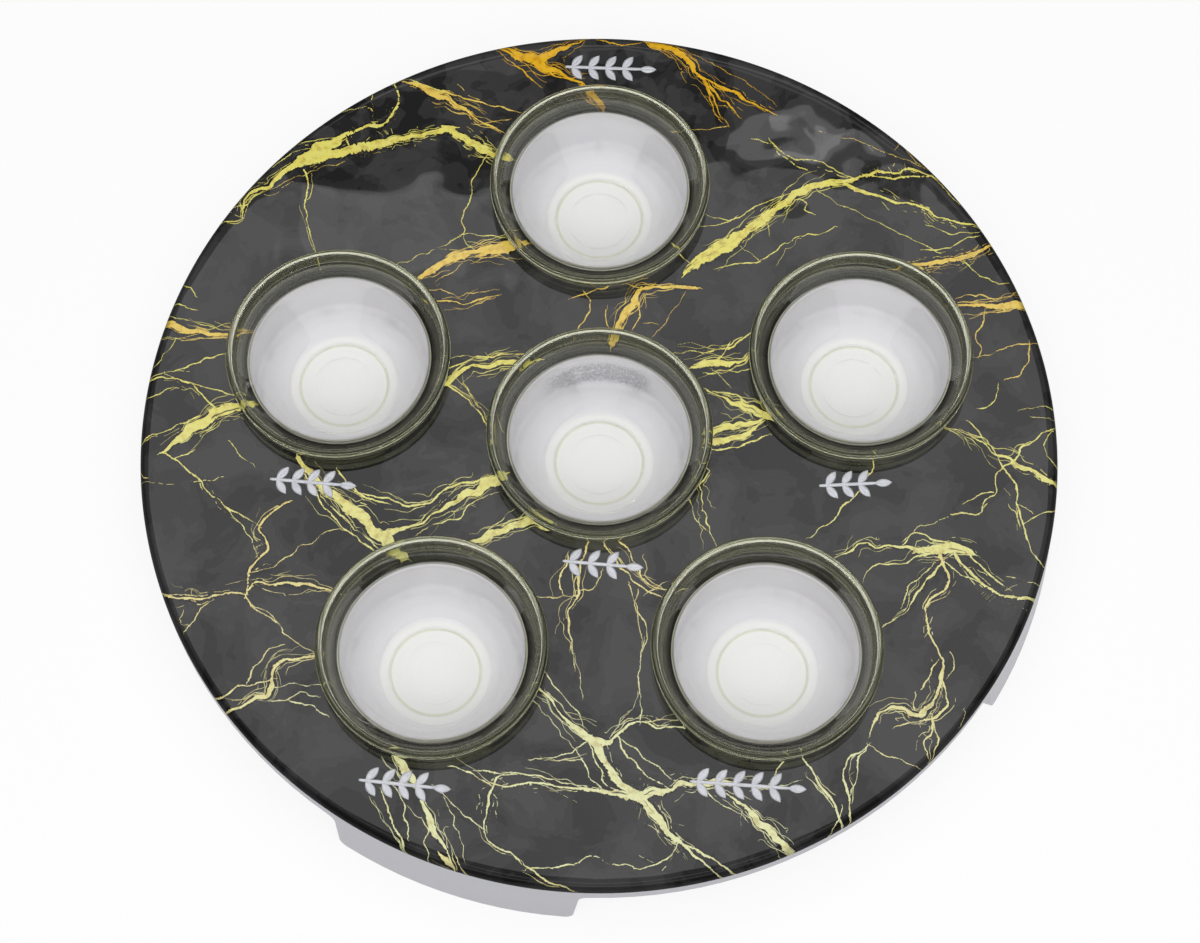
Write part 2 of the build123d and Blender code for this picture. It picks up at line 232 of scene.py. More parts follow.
    (CREAM, (0.5, 0.8, 0.9, 1.1), ((-48, -154), (-38, -155.5), (-27, -154), (-16, -156), (-6, -157),
     (4, -158.5))),
    (CREAM, (0.7, 0.6, 0.5), ((-34, -150), (-25, -151.5), (-15, -154), (-6, -156.5))),
    (CREAM, (0.6, 0.8, 0.8, 0.7, 0.8, 0.6), ((-35, -150.5), (-42.5, -152), (-45, -157), (-46, -163.5),
     (-47.5, -171), (-47, -177), (-42.5, -182), (-36, -184.5), (-32, -188))),
    (CREAM, (0.5, 0.7, 0.6), ((-62, -147), (-54, -149.5), (-49.5, -153), (-45, -155.5))),
    (CREAM, (0.5, 0.6, 0.5), ((-52, -149), (-43, -149.5), (-35, -150))),
    (CREAM, (0.4, 0.5, 0.6, 0.5), ((-69, -155.5), (-62, -162.5), (-54, -169.5), (-47, -174.5))),
    (GOLD, (0.6, 0.7, 0.6), ((-32, -188), (-27, -192), (-20, -196), (-9, -201))),
    (CREAM, (0.4, 0.6, 0.5, 0.6, 0.5), ((-30, -190.5), (-20, -190), (-12, -189), (-7, -187), (-4, -185),
     (2, -187.5), (9, -189), (18, -190), (26, -187.5), (31, -182.5), (33, -179))),
    (CREAM, (0.5, 0.9, 1.6, 2.0, 2.0, 1.5), ((51, -157.5), (57, -161.5), (63, -167), (69.5, -174),
     (75, -179.5), (82, -187))),
    (CREAM, (0.4, 0.5, 0.3), ((45, -158), (50, -163), (57, -166), (61, -169.5))),
    (CREAM, (0.5, 0.5), ((78.5, -142), (75, -149), (70, -155.5))),
    (CREAM, (0.4, 0.4), ((64, -157.5), (74, -155.5), (83, -153))),
    # front left
    (CREAM, (1.4, 2.3, 1.8, 0.8), ((-86, -141), (-82, -147.5), (-77, -153.5), (-73.5, -159))),
    (CREAM, (0.5, 0.8, 0.8, 0.6), ((-91, -157), (-88, -165), (-85, -172), (-82, -178.5), (-80, -186))),
    (CREAM, (0.5, 0.6, 0.4), ((-87, -154), (-82, -162), (-80, -170), (-79, -178))),
    (CREAM, (0.6, 1.4, 1.8, 1.3, 0.6, 0.4), ((-74.5, -160), (-72, -165.5), (-69.5, -170), (-69, -175),
     (-65, -179.5), (-60, -190))),
    (CREAM, (0.4, 0.35), ((-70.5, -172), (-71.5, -179), (-71, -188))),
    (CREAM, (0.4, 0.4, 0.3), ((-64.5, -161), (-61, -168), (-58, -175.5), (-55.5, -188))),
    (GOLD, (0.9, 1.6, 0.9), ((-66, -184), (-63, -187), (-60, -192))),
    (GOLD, (0.5, 0.6), ((-59, -186), (-55, -194))),
    # lower left
    (GOLD, (0.8, 0.9, 1.1, 1.0, 0.9, 0.9), ((-190, -71), (-180, -73), (-172, -74), (-165, -73),
     (-157, -71), (-150.5, -71.5))),
    (GOLD, (0.4, 0.4), ((-187, -72.5), (-178, -72), (-168, -72.5))),
    (GOLD, (0.8, 0.9, 0.9, 0.9), ((-134, -29.5), (-140, -33), (-144, -38), (-146, -41.5), (-144, -46),
     (-142, -51), (-145, -55), (-149, -58.5), (-150, -65), (-150.5, -71.5))),
    (GOLD, (0.9, 0.8, 1.1, 1.4, 1.1, 0.8), ((-150.5, -71), (-147, -66.5), (-139, -67), (-131, -66.5),
     (-125, -67), (-118, -69), (-112, -70.5))),
    (GOLD, (0.6, 0.5, 0.45, 0.4), ((-151, -72), (-148.5, -76.5), (-144, -80), (-137, -84.5), (-133, -89.5),
     (-127, -94), (-121, -97.5))),
    (GOLD, (0.35, 0.4, 0.3), ((-149, -75.5), (-141, -80), (-136, -85))),
    (GOLD, (0.4, 0.45, 0.4), ((-165, -74), (-170, -79), (-173, -84), (-175.5, -88))),
    (GOLD, (0.25, 0.25), ((-175, -85.5), (-179, -84), (-177, -80))),
    (GOLD, (0.35, 0.35, 0.35, 0.3), ((-149.5, -62), (-140, -59), (-132, -53), (-123, -48), (-117, -43),
     (-111, -42))),
    (GOLD, (0.9, 1.1, 1.0, 1.2, 1.4, 1.4, 1.1, 1.0, 0.8), ((-119, -98.5), (-128, -100.5), (-135, -101.5),
     (-137.5, -104.5), (-138, -110), (-139, -116), (-146, -119), (-152, -122), (-161, -125.5))),
    (GOLD, (0.6, 0.8, 0.9, 0.8), ((-137, -109), (-144, -111.5), (-151, -112.5), (-156, -115.5),
     (-165, -119))),
    (GOLD, (0.4, 0.6), ((-134, -94), (-140, -97), (-145, -104), (-148.5, -111))),
    (GOLD, (0.35, 0.4), ((-153, -118.5), (-147, -117), (-140, -117))),
    (CREAM, (0.4, 0.35), ((-137, -113), (-130, -112), (-122, -111.5), (-114, -112.5))),
    (CREAM, (0.5, 0.45), ((-138, -119), (-131, -118.5), (-127, -115.5), (-119, -117))),
    (CREAM, (0.45, 0.45), ((-130, -119), (-122, -121), (-115, -125))),
    # left
    (LEMON, (0.4, 0.4), ((-187, 76), (-179.5, 68.5))),
    (LEMON, (0.5, 0.4), ((-191, 65), (-179, 61))),
    (GOLD, (2.2, 2.3, 1.5, 1.2, 1.0, 0.7), ((-197, 56), (-186, 52.5), (-178, 50.5), (-168, 49.5),
     (-160, 49.5), (-152, 50))),
    (LEMON, (0.4, 0.4, 0.3), ((-194, 59), (-180, 55.5), (-169, 52))),
    (LEMON, (0.3, 0.25), ((-187, 47), (-190, 41), (-196, 34))),
    (LEMON, (0.4, 0.7, 0.5), ((-187, 31.5), (-180, 34.5), (-173, 37.5), (-165, 40))),
    (LEMON, (0.5, 0.9, 0.9, 0.8, 0.7, 0.7), ((-202, 27), (-190, 28.5), (-183, 27.5), (-176, 23),
     (-171, 17.5), (-167, 13))),
    (LEMON, (0.5, 0.5, 0.4), ((-190, 30), (-181, 26.5), (-172, 24), (-164, 21.5), (-156, 20))),
    (LEMON, (0.5, 0.4), ((-203, 18.5), (-193, 21), (-186, 24))),
    (LEMON, (0.9, 1.6, 2.6, 3.3, 3.6, 3.0, 2.0), ((-190, -7), (-184, -1.5), (-178, 3.5), (-172, 8),
     (-165, 12.5), (-159, 14.5), (-152, 15))),
    (LEMON, (0.5, 0.7, 0.6), ((-203, -5), (-197, -0.5), (-189, 3.5), (-180, 7.5), (-173, 11))),
    (LEMON, (0.6, 0.5), ((-190, -7), (-183, -9), (-177, -6))),
    (LEMON, (0.7, 0.6, 0.6, 0.6, 0.5), ((-188, -7.5), (-182, -12), (-175, -17.5), (-171, -23), (-165, -29),
     (-159, -33), (-152, -37), (-146, -41))),
    (LEMON, (0.4, 0.35, 0.3), ((-161, -32.5), (-155, -39), (-150.5, -46), (-147, -53.5))),
    (LEMON, (0.4, 0.3), ((-176, -20.5), (-170, -20), (-163, -18))),
    (LEMON, (0.35, 0.4, 0.3), ((-161, -1.5), (-157, -7), (-150, -12.5))),
    (GOLD, (0.2, 0.25), ((-203, -20), (-185, -21.5))),
    (GOLD, (0.5, 0.4), ((-203, -13), (-196.5, -18.5))),
    # left of the middle
    (GOLD, (1.2, 2.2, 2.3, 2.2, 2.8, 3.4, 2.6), ((-81, 76.5), (-74, 81.5), (-66, 86.5), (-58, 89),
     (-50, 90.5), (-43, 92), (-34, 93))),
    (GOLD, (0.3, 0.35, 0.3), ((-72, 76), (-66, 79.5), (-62, 84))),
    (GOLD, (0.3, 0.35, 0.3), ((-77, 71.5), (-70, 71), (-62, 68.5), (-55, 70), (-46, 71.5))),
    (GOLD, (1.0, 1.0, 0.8, 0.7, 0.4), ((-76, 66.5), (-68, 65.5), (-60, 65), (-53, 66.5), (-45, 68.8))),
    (GOLD, (0.5, 0.6, 0.5), ((-7, 70.5), (-4, 66), (-5, 61), (-8, 55), (-11, 50))),
    (LEMON, (1.7, 1.5, 1.3, 1.3, 1.7, 1.9, 1.3), ((-67, 26), (-62.5, 31), (-57, 34), (-50, 35), (-42, 36),
     (-35, 36.5), (-27, 37.5))),
    (LEMON, (0.6, 0.7, 0.6, 0.4), ((-66, 33.5), (-58, 37), (-50, 38.5), (-40, 40.5), (-31, 40))),
    (LEMON, (0.3, 0.3), ((-67, 38), (-58, 39.5), (-50, 38))),
    (LEMON, (0.8, 0.7, 0.6, 0.8, 0.9), ((-67, 25.5), (-60, 20), (-55, 15), (-50.5, 10), (-49, 4),
     (-47.5, -2))),
    (LEMON, (0.35, 0.4), ((-60, 29), (-57, 22), (-53.5, 15.5))),
    # behind and right of the middle
    (GOLD, (0.8, 1.4, 1.1, 0.9, 1.3, 1.7, 2.0, 2.1, 2.3, 2.4), ((44, 72.5), (37, 73), (30, 73), (23, 73),
     (18.5, 71), (15, 66), (11.5, 61), (9, 56), (7, 50), (5.5, 45))),
    (GOLD, (0.5, 0.6, 0.5), ((-12, 67.5), (-2, 71), (9, 74.5), (19, 72))),
    (GOLD, (0.5, 0.6), ((3, 62), (2.5, 57), (4, 53))),
    (GOLD, (0.5, 0.5), ((17, 65), (18, 58), (15, 53))),
    (GOLD, (0.22, 0.25), ((38, 70), (31, 59), (24, 49.5))),
    (GOLD, (0.4, 0.3), ((21, 55.5), (25, 55))),
    (LEMON, (0.6, 1.5, 2.1, 1.7, 1.0, 0.6), ((39, 33.5), (46, 35.5), (52, 36.5), (58, 35.5), (63, 37.5),
     (67, 41))),
    (LEMON, (0.4, 0.7, 0.9, 0.9, 0.5), ((34, 41), (45, 42), (54, 43), (61, 46), (67, 51))),
    (LEMON, (0.6, 0.6), ((51, 37), (55, 41.5), (57, 45))),
    (LEMON, (0.4, 0.4), ((47, 31.5), (55, 31.5), (66, 33.5))),
    (LEMON, (0.2, 0.2), ((50, 33), (57, 25.5))),
    (LEMON, (0.5, 1.0, 1.7, 1.9, 2.0, 1.3), ((47, 23.5), (53, 20), (60, 17), (66, 14.5), (72, 12),
     (78, 8.5))),
    (LEMON, (0.5, 0.6), ((51, 22.5), (59, 22), (64, 17.5))),
    (LEMON, (2.6, 2.3, 1.8, 1.0), ((49, 3.5), (57, 6), (64.5, 7), (71, 9.5))),
    (LEMON, (2.2, 1.9, 1.2), ((49, -1.5), (57, 0.5), (63, 2), (69, 6.5))),
    (LEMON, (0.7, 0.8, 0.5), ((47, -4.5), (56, -4.5), (65, -1.5), (73, 2))),
    (LEMON, (0.5, 0.7, 0.6, 0.5), ((44, -11), (47.5, -15), (44, -20), (44.5, -28), (45.5, -36),
     (47.5, -43), (50.5, -49.5))),
    (LEMON, (0.4, 0.4), ((39, -28), (41, -36), (45.5, -41.5))),
    # lower left of the middle
    (LEMON, (1.2, 1.9, 1.8, 2.3, 3.1, 3.4, 3.2, 3.0), ((-131, -9), (-126, -16), (-118, -24), (-110, -30),
     (-103, -36.5), (-97, -42.5), (-91, -48.5), (-84, -54.5))),
    (LEMON, (0.7, 0.7, 0.6), ((-127.5, -17), (-122, -26), (-118, -33), (-111.5, -40), (-104.5, -46),
     (-97, -51.5))),
    (LEMON, (0.5, 0.5), ((-120, -27), (-112, -35.5), (-104, -42.5), (-96, -50))),
    (LEMON, (0.7, 0.9, 0.8), ((-113, -15.5), (-107.5, -22), (-100, -28), (-92, -30))),
    (LEMON, (0.7, 0.8, 0.8, 0.8, 0.9, 0.9, 1.0), ((-106, -24.5), (-98, -27), (-90, -28), (-82, -31.5),
     (-76, -30), (-70, -27.5), (-66, -23), (-60, -20.5), (-53, -20), (-47, -17.5))),
    (LEMON, (2.0, 1.5, 1.0, 0.9, 1.2, 1.7, 2.0, 3.2, 3.0), ((-92, -44), (-84.5, -41.5), (-78, -40),
     (-72, -35.5), (-66.5, -32), (-62, -28.5), (-55, -25), (-48.5, -21.5), (-43, -18.5))),
    (LEMON, (0.4, 0.5, 0.5, 0.4), ((-78, -44), (-72, -39.5), (-65, -38.5), (-60, -37), (-57.5, -32),
     (-52, -28), (-45, -25))),
    (LEMON, (1.1, 1.9, 2.0, 1.9, 2.6, 2.2), ((-58, -48.5), (-50, -46), (-42, -42.5), (-35, -39.5),
     (-28, -38.5), (-22, -40.5))),
    (LEMON, (0.4, 0.5, 0.4), ((-49, -44), (-42.5, -37.5), (-38, -33.5))),
    # in front of the middle
    (GOLD, (0.7, 0.8, 0.7, 0.6), ((-13.5, -54), (-15, -61), (-18, -65.5), (-15.5, -71))),
    (GOLD, (0.5, 0.9, 0.9, 0.8, 0.6, 0.5), ((-5, -48), (-8.5, -60), (-9, -70), (-13, -78), (-13, -85),
     (-12, -92), (-10.5, -104))),
    (GOLD, (0.3, 0.3), ((-26, -72.5), (-18, -73), (-10, -72))),
    (GOLD, (0.5, 0.45), ((1, -61), (-2, -68), (-8.5, -69.5))),
    (GOLD, (0.6, 0.6, 0.6, 0.6), ((7, -46), (12, -50.5), (15, -56.5), (18, -62.5), (23, -67.5), (28, -69),
     (36, -69))),
    (GOLD, (0.6, 0.7, 0.6), ((2, -48.5), (8, -57), (14, -65), (20, -69.5), (26, -72))),
    (GOLD, (0.5, 0.5, 0.5), ((13, -67.5), (15, -75), (18, -82), (20.5, -88.5), (18.5, -96))),
    (GOLD, (0.4, 0.4), ((16.5, -70), (15.5, -78), (17.5, -86), (18, -93))),
    (GOLD, (0.4, 0.4), ((20, -71), (28, -66))),
)
# Layers keep veins that run close together apart; a layer's reach is in mm beyond a vein's edge
VEIN_LAYERS = 5
VEIN_REACH = 1.9
THREAD_LAYERS = 4
THREAD_REACH = 1.2
# Spacing in mm of the points along a vein
VEIN_STEP = 1.6
# Radii in mm that the finishes follow: on the plate, about a well, and about a bowl
CAST_SIDE = (190.0, 196.0)
TURNED_EDGE = (197.2, 198.4)
WELL_MOUTH = (40.9, 41.4)
COLLAR = (38.9, 39.8)
RIM_LINE, INNER_LINE, FOOT_RING = 47.2, 45.2, 19.4


class SederPlateSizes(bpy.types.PropertyGroup):
    """Sizes of the dressed pieces."""

    plate_radius: bpy.props.FloatProperty(
        name="Plate radius", description="Outside of the marbled facing",
        default=FACING_HIGH.x, unit="LENGTH")
    plate_top: bpy.props.FloatProperty(
        name="Plate top", description="Height of the marbled facing above the table",
        default=FACING_HIGH.z, unit="LENGTH")
    facing_thickness: bpy.props.FloatProperty(
        name="Facing thickness", description="Thickness of the marbled facing",
        default=0.0008, unit="LENGTH")
    edge_round: bpy.props.FloatProperty(
        name="Edge round", description="Radius of the facing's turned-down edge",
        default=0.0036, unit="LENGTH")
    mouth_radius: bpy.props.FloatProperty(
        name="Mouth radius", description="Opening in the facing over each well",
        default=0.0407, unit="LENGTH")
    ripple: bpy.props.FloatProperty(
        name="Ripple", description="Height of the soft waves in the clear coat",
        default=0.000025, unit="LENGTH")
    sprig_thickness: bpy.props.FloatProperty(
        name="Sprig thickness", description="Height of the silver sprigs above the facing",
        default=0.0005, unit="LENGTH")


class SederPlateColours(bpy.types.PropertyGroup):
    """Colours of the finishes."""

    marble: bpy.props.FloatVectorProperty(
        name="Marble", description="Ground of the marble print",
        subtype="COLOR", default=(0.0085, 0.0084, 0.0084))
    vein_orange: bpy.props.FloatVectorProperty(
        name="Orange vein", description="Veins at the back edge",
        subtype="COLOR", default=(0.76, 0.43, 0.012))
    vein_gold: bpy.props.FloatVectorProperty(
        name="Gold vein", description="Veins of middling tone",
        subtype="COLOR", default=(0.78, 0.56, 0.11))
    vein_lemon: bpy.props.FloatVectorProperty(
        name="Lemon vein", description="Veins of the upper half",
        subtype="COLOR", default=(0.75, 0.69, 0.15))
    vein_cream: bpy.props.FloatVectorProperty(
        name="Cream vein", description="Veins at the front",
        subtype="COLOR", default=(0.72, 0.73, 0.40))
    aluminium: bpy.props.FloatVectorProperty(
        name="Aluminium", description="Bare metal of the casting",
        subtype="COLOR", default=(0.475, 0.475, 0.51))
    glass: bpy.props.FloatVectorProperty(
        name="Glass", description="Tint of the pressed glass in the collar",
        subtype="COLOR", default=(0.56, 0.58, 0.28))
    glass_pale: bpy.props.FloatVectorProperty(
        name="Pale glass", description="Tint of the collar's clearer rings",
        subtype="COLOR", default=(0.96, 0.96, 0.70))
    silver: bpy.props.FloatVectorProperty(
        name="Silver", description="Satin metal of the sprigs",
        subtype="COLOR", default=(0.72, 0.73, 0.78))
    floor: bpy.props.FloatVectorProperty(
        name="Floor", description="Pale floor",
        subtype="COLOR", default=(0.9, 0.9, 0.9))


class Wire:
    """One output in a node tree: arithmetic on it adds Math nodes, and node() adds any other node."""

    def __init__(self, tree, socket=None):
        self.tree = tree
        self.socket = socket

    def node(self, kind, settings=None, inputs=None, output=0):
        """Add a node, set its settings first, then fill or link its sockets, and wrap one of its outputs."""
        new = self.tree.nodes.new(kind)
        for name, value in (settings or {}).items():
            if name == "stops":
                ramp = new.color_ramp
                for position, _ in value[1:-1]:
                    ramp.elements.new(position)
                for element, (position, colour) in zip(ramp.elements, value, strict=True):
                    element.position = position
                    element.color = (*colour, 1.0)
            else:
                setattr(new, name, value)
        for name, value in (inputs or {}).items():
            if isinstance(value, Wire):
                self.tree.links.new(value.socket, new.inputs[name])
            else:
                new.inputs[name].default_value = value
        return Wire(self.tree, new.outputs[output])

    def math(self, operation, *values):
        return self.node("ShaderNodeMath", {"operation": operation}, dict(enumerate(values)))

    def __add__(self, other):
        return self.math("ADD", self, other)

    __radd__ = __add__

    def __sub__(self, other):
        return self.math("SUBTRACT", self, other)

    def __rsub__(self, other):
        return self.math("SUBTRACT", other, self)

    def __mul__(self, other):
        return self.math("MULTIPLY", self, other)

    __rmul__ = __mul__

    def __abs__(self):
        return self.math("ABSOLUTE", self)

    def low(self, other):
        return self.math("MINIMUM", self, other)

    def high(self, other):
        return self.math("MAXIMUM", self, other)

    def step(self, start, end):
        """0 at start to 1 at end, eased."""
        return self.node("ShaderNodeMapRange", {"interpolation_type": "SMOOTHSTEP"},
                         {"Value": self, "From Min": start, "From Max": end})

    def scaled(self, factor):
        """This vector times a number, or times three numbers."""
        factors = (factor, factor, factor) if isinstance(factor, (int, float)) else factor
        return self.node("ShaderNodeVectorMath", {"operation": "MULTIPLY"}, {0: self, 1: factors})

    def noise(self, scale, detail=2.0, roughness=0.5, distortion=0.0):
        """Noise of about 0 to 1 at this vector, with scale in waves per unit of it."""
        return self.node("ShaderNodeTexNoise", None, {"Vector": self, "Scale": scale, "Detail": detail,
                                                      "Roughness": roughness, "Distortion": distortion})

    def split(self):
        """The three parts of this vector."""
        parts = self.tree.nodes.new("ShaderNodeSeparateXYZ")
        self.tree.links.new(self.socket, parts.inputs[0])
        return [Wire(self.tree, output) for output in parts.outputs]

    def joined(self, y, z):
        """A vector with this number as its first part."""
        return self.node("ShaderNodeCombineXYZ", None, {"X": self, "Y": y, "Z": z})

    def blend(self, low, high, factor):
        """A colour that goes from low at factor 0 to high at 1, each a wire or three numbers."""
        ends = [end if isinstance(end, Wire) else (*end, 1.0) for end in (low, high)]
        inputs = {"Factor": factor, 6: ends[0], 7: ends[1]}
        return self.node("ShaderNodeMix", {"data_type": "RGBA"}, inputs, 2)

    def mix(self, other, factor):
        """This colour at factor 0, the other at 1."""
        return self.blend(self, other, factor)

    def bump(self, strength, distance):
        """A normal from this height, with distance in metres."""
        return self.node("ShaderNodeBump", None, {"Strength": strength, "Distance": distance, "Height": self})


def finish(name, constants):
    """A material with one Principled shader: returns it, the shader node, and a wire with the place in mm."""
    material = bpy.data.materials.new(name)
    material.use_nodes = True
    tree = material.node_tree
    shader = next(node for node in tree.nodes if node.type == "BSDF_PRINCIPLED")
    for socket, value in constants.items():
        shader.inputs[socket].default_value = value
    place = Wire(tree).node("ShaderNodeTexCoord", None, None, "Object").scaled(1000.0)
    return material, shader, place


def feed(shader, **wires):
    """Link wires to the shader's sockets, named with underscores for spaces."""
    for name, wire in wires.items():
        wire.tree.links.new(wire.socket, shader.inputs[name.replace("_", " ")])


def show(material, wire):
    """Make a wire with a shader the material's surface."""
    tree = material.node_tree
    output = next(node for node in tree.nodes if node.type == "OUTPUT_MATERIAL")
    tree.links.new(wire.socket, output.inputs["Surface"])


def quads(rows, columns, close_rows=False, close_columns=False, first=0):
    """Faces of a grid of points; their normals point along column step x row step."""
    index = first + np.arange(rows * columns).reshape(rows, columns)
    if close_rows:
        index = np.vstack([index, index[:1]])
    if close_columns:
        index = np.hstack([index, index[:, :1]])
    corners = (index[:-1, :-1], index[:-1, 1:], index[1:, 1:], index[1:, :-1])
    return np.stack([corner.ravel() for corner in corners], axis=1)


def new_piece(name, points, faces, material):
    """Smooth mesh object at the origin from points in metres and quads, its doubles merged."""
    mesh = bpy.data.meshes.new(name)
    mesh.from_pydata(points.tolist(), [], faces.tolist())
    shape = bmesh.new()
    shape.from_mesh(mesh)
    bmesh.ops.remove_doubles(shape, verts=shape.verts, dist=2e-6)
    bmesh.ops.dissolve_degenerate(shape, edges=shape.edges, dist=1e-7)
    shape.to_mesh(mesh)
    shape.free()
    mesh.shade_smooth()
    mesh.materials.append(material)
    piece = bpy.data.objects.new(name, mesh)
    bpy.context.scene.collection.objects.link(piece)
    return piece


def vein_route(widths, points, seed):
    """A vein as points every few mm with half-widths: a spline through its route, swung aside by seed."""
    route = np.array(points, float)
    lengths = np.r_[0, np.cumsum(np.hypot(*np.diff(route, axis=0).T))]
    count = max(3, int(lengths[-1] / VEIN_STEP) + 1)
    along = np.linspace(0, lengths[-1], count)
    slopes = np.gradient(route, lengths, axis=0)
    part = np.clip(np.searchsorted(lengths, along, side="right") - 1, 0, len(route) - 2)
    span = (lengths[part + 1] - lengths[part])[:, None]
    t = (along - lengths[part])[:, None] / span
    place = ((1 + 2 * t) * (1 - t) ** 2 * route[part] + t * (1 - t) ** 2 * span * slopes[part]
             + t ** 2 * (3 - 2 * t) * route[part + 1] + t ** 2 * (t - 1) * span * slopes[part + 1])
    half = np.interp(along, np.linspace(0, lengths[-1], len(widths)), widths)
    return swung(place, along, np.random.default_rng(seed), 0.8), half, along


def sideways_of(place):
    """Unit vectors to the left of a path."""
    heading = np.gradient(place, axis=0)
    heading /= np.maximum(np.linalg.norm(heading, axis=1, keepdims=True), 1e-9)
    return np.stack([-heading[:, 1], heading[:, 0]], axis=1)


def swung(place, along, random, size):
    """A path with seeded waves and kinks across it that die out at its ends."""
    length = along[-1] - along[0]
    waves = zip(random.uniform(5, 16, 3), random.uniform(0, 6.3, 3), (0.4, 0.32, 0.25), strict=True)
    swing = sum(height * np.sin(6.283 * along / wave + phase) for wave, phase, height in waves)
    kinks = np.convolve(random.normal(0, 0.55, len(along) + 2), (0.25, 0.5, 0.25), "valid")
    fade = np.sin(np.pi * np.clip((along - along[0]) / length, 0, 1)) ** 0.5
    return place + sideways_of(place) * (size * (swing + kinks) * fade)[:, None]


def side_threads(seed, tone, place, half, along):
    """Fine threads of a broad vein: each leaves its edge at a seeded place, runs beside it and fades."""
    random = np.random.default_rng(900 + seed)
    threads = []
    for _ in range(int(along[-1] * np.clip(half.mean() - 0.4, 0, 1) / 4)):
        length = random.uniform(10, 34)
        start = random.uniform(0, max(along[-1] - length, 0))
        part = np.flatnonzero((along >= start) & (along <= start + length))
        if len(part) < 5:
            continue
        t = np.linspace(0, 1, len(part))
        t = t if random.random() < 0.5 else 1 - t
        aside = random.choice((-1, 1)) * (half[part] * 0.8 + 0.3 + t ** 1.4 * random.uniform(1.2, 5.5))
        path = place[part] + sideways_of(place)[part] * aside[:, None]
        path = swung(path, along[part], random, 0.75)
        threads.append((path, random.uniform(0.16, 0.3) * (1 - 0.6 * t), along[part], tone))
    return threads


def vein_layers():
    """Veins and their threads by layer, each in the first layer where no other runs close beside it."""
    broad = [[] for _ in range(VEIN_LAYERS)]
    fine = [[] for _ in range(THREAD_LAYERS)]
    for seed, (tone, widths, points) in enumerate(VEINS):
        place, half, along = vein_route(widths, points, seed)
        lay(broad, (place, half, along + 500.0 * seed, tone), 2 * VEIN_REACH)
        for thread in side_threads(seed, tone, place, half, along):
            lay(fine, thread, 2 * THREAD_REACH, needed=False)
    return broad, fine


def lay(layers, vein, room, needed=True):
    """Put a vein in the first layer with that much room; a needed one else goes in the roomiest."""
    place, half = vein[:2]
    rooms = []
    for layer in layers:
        gaps = []
        for other_place, other_half, _, _ in layer:
            apart = np.hypot(*(place[:, None] - other_place[None]).transpose(2, 0, 1))
            gaps.append(np.min(apart - half[:, None] - other_half[None]))
        rooms.append(min(gaps, default=99.0))
    free = [index for index, gap in enumerate(rooms) if gap > room]
    if free or needed:
        layers[free[0] if free else int(np.argmax(rooms))].append(vein)


def vein_field(flat, layers, reach):
    """Offset from the nearest vein, its half-width and run by layer at flat places in mm, and the tone.

    Each place takes the segment whose edge is nearest; the offset's sign is the side of it that it lies on.
    Half-widths are negative beyond the veins' reach, so that nothing shows there."""
    tile_size, around_tile, far, no_vein = 21, 14, 50, -9
    order = np.floor((flat + 10 * tile_size) / tile_size).astype(int)
    tiles = order[:, 0] * 32 + order[:, 1]
    fields = np.zeros((len(layers), len(flat), 3), np.float32)
    fields[:, :, 0] = far
    fields[:, :, 1] = no_vein
    tone = np.full(len(flat), 0.5, np.float32)
    nearest = np.full(len(flat), 1e9)
    for number, layer in enumerate(layers):
        start = np.concatenate([place[:-1] for place, _, _, _ in layer])
        run = np.concatenate([np.diff(place, axis=0) for place, _, _, _ in layer])
        half = np.concatenate([half[:-1] for _, half, _, _ in layer])
        grow = np.concatenate([np.diff(half) for _, half, _, _ in layer])
        along = np.concatenate([along[:-1] for _, _, along, _ in layer])
        tones = np.concatenate([np.full(len(place) - 1, tone) for place, _, _, tone in layer])
        squared = np.maximum((run ** 2).sum(1), 1e-9)
        for tile in np.unique(tiles):
            members = np.flatnonzero(tiles == tile)
            spots = flat[members]
            close = ((start > spots.min(0) - around_tile) & (start < spots.max(0) + around_tile)).all(1)
            if not close.any():
                continue
            a, b, w0, dw, s2 = start[close], run[close], half[close], grow[close], squared[close]
            away = spots[:, None] - a[None]
            t = np.clip((away * b[None]).sum(2) / s2[None], 0, 1)
            gap = np.hypot(*(away - t[..., None] * b[None]).transpose(2, 0, 1))
            edge = gap - (w0 + t * dw)
            best = edge.argmin(1)
            rows = np.arange(len(members))
            side = np.sign(b[best, 0] * away[rows, best, 1] - b[best, 1] * away[rows, best, 0])
            outside = edge[rows, best]
            width = np.where(outside > reach, no_vein, w0[best] + t[rows, best] * dw[best])
            fields[number, members, 0] = np.where(side < 0, -1, 1) * gap[rows, best]
            fields[number, members, 1] = width
            fields[number, members, 2] = along[close][best] + t[rows, best] * np.sqrt(s2[best])
            better = outside < nearest[members]
            tone[members[better]] = tones[close][best[better]]
            nearest[members[better]] = outside[better]
    return fields, tone


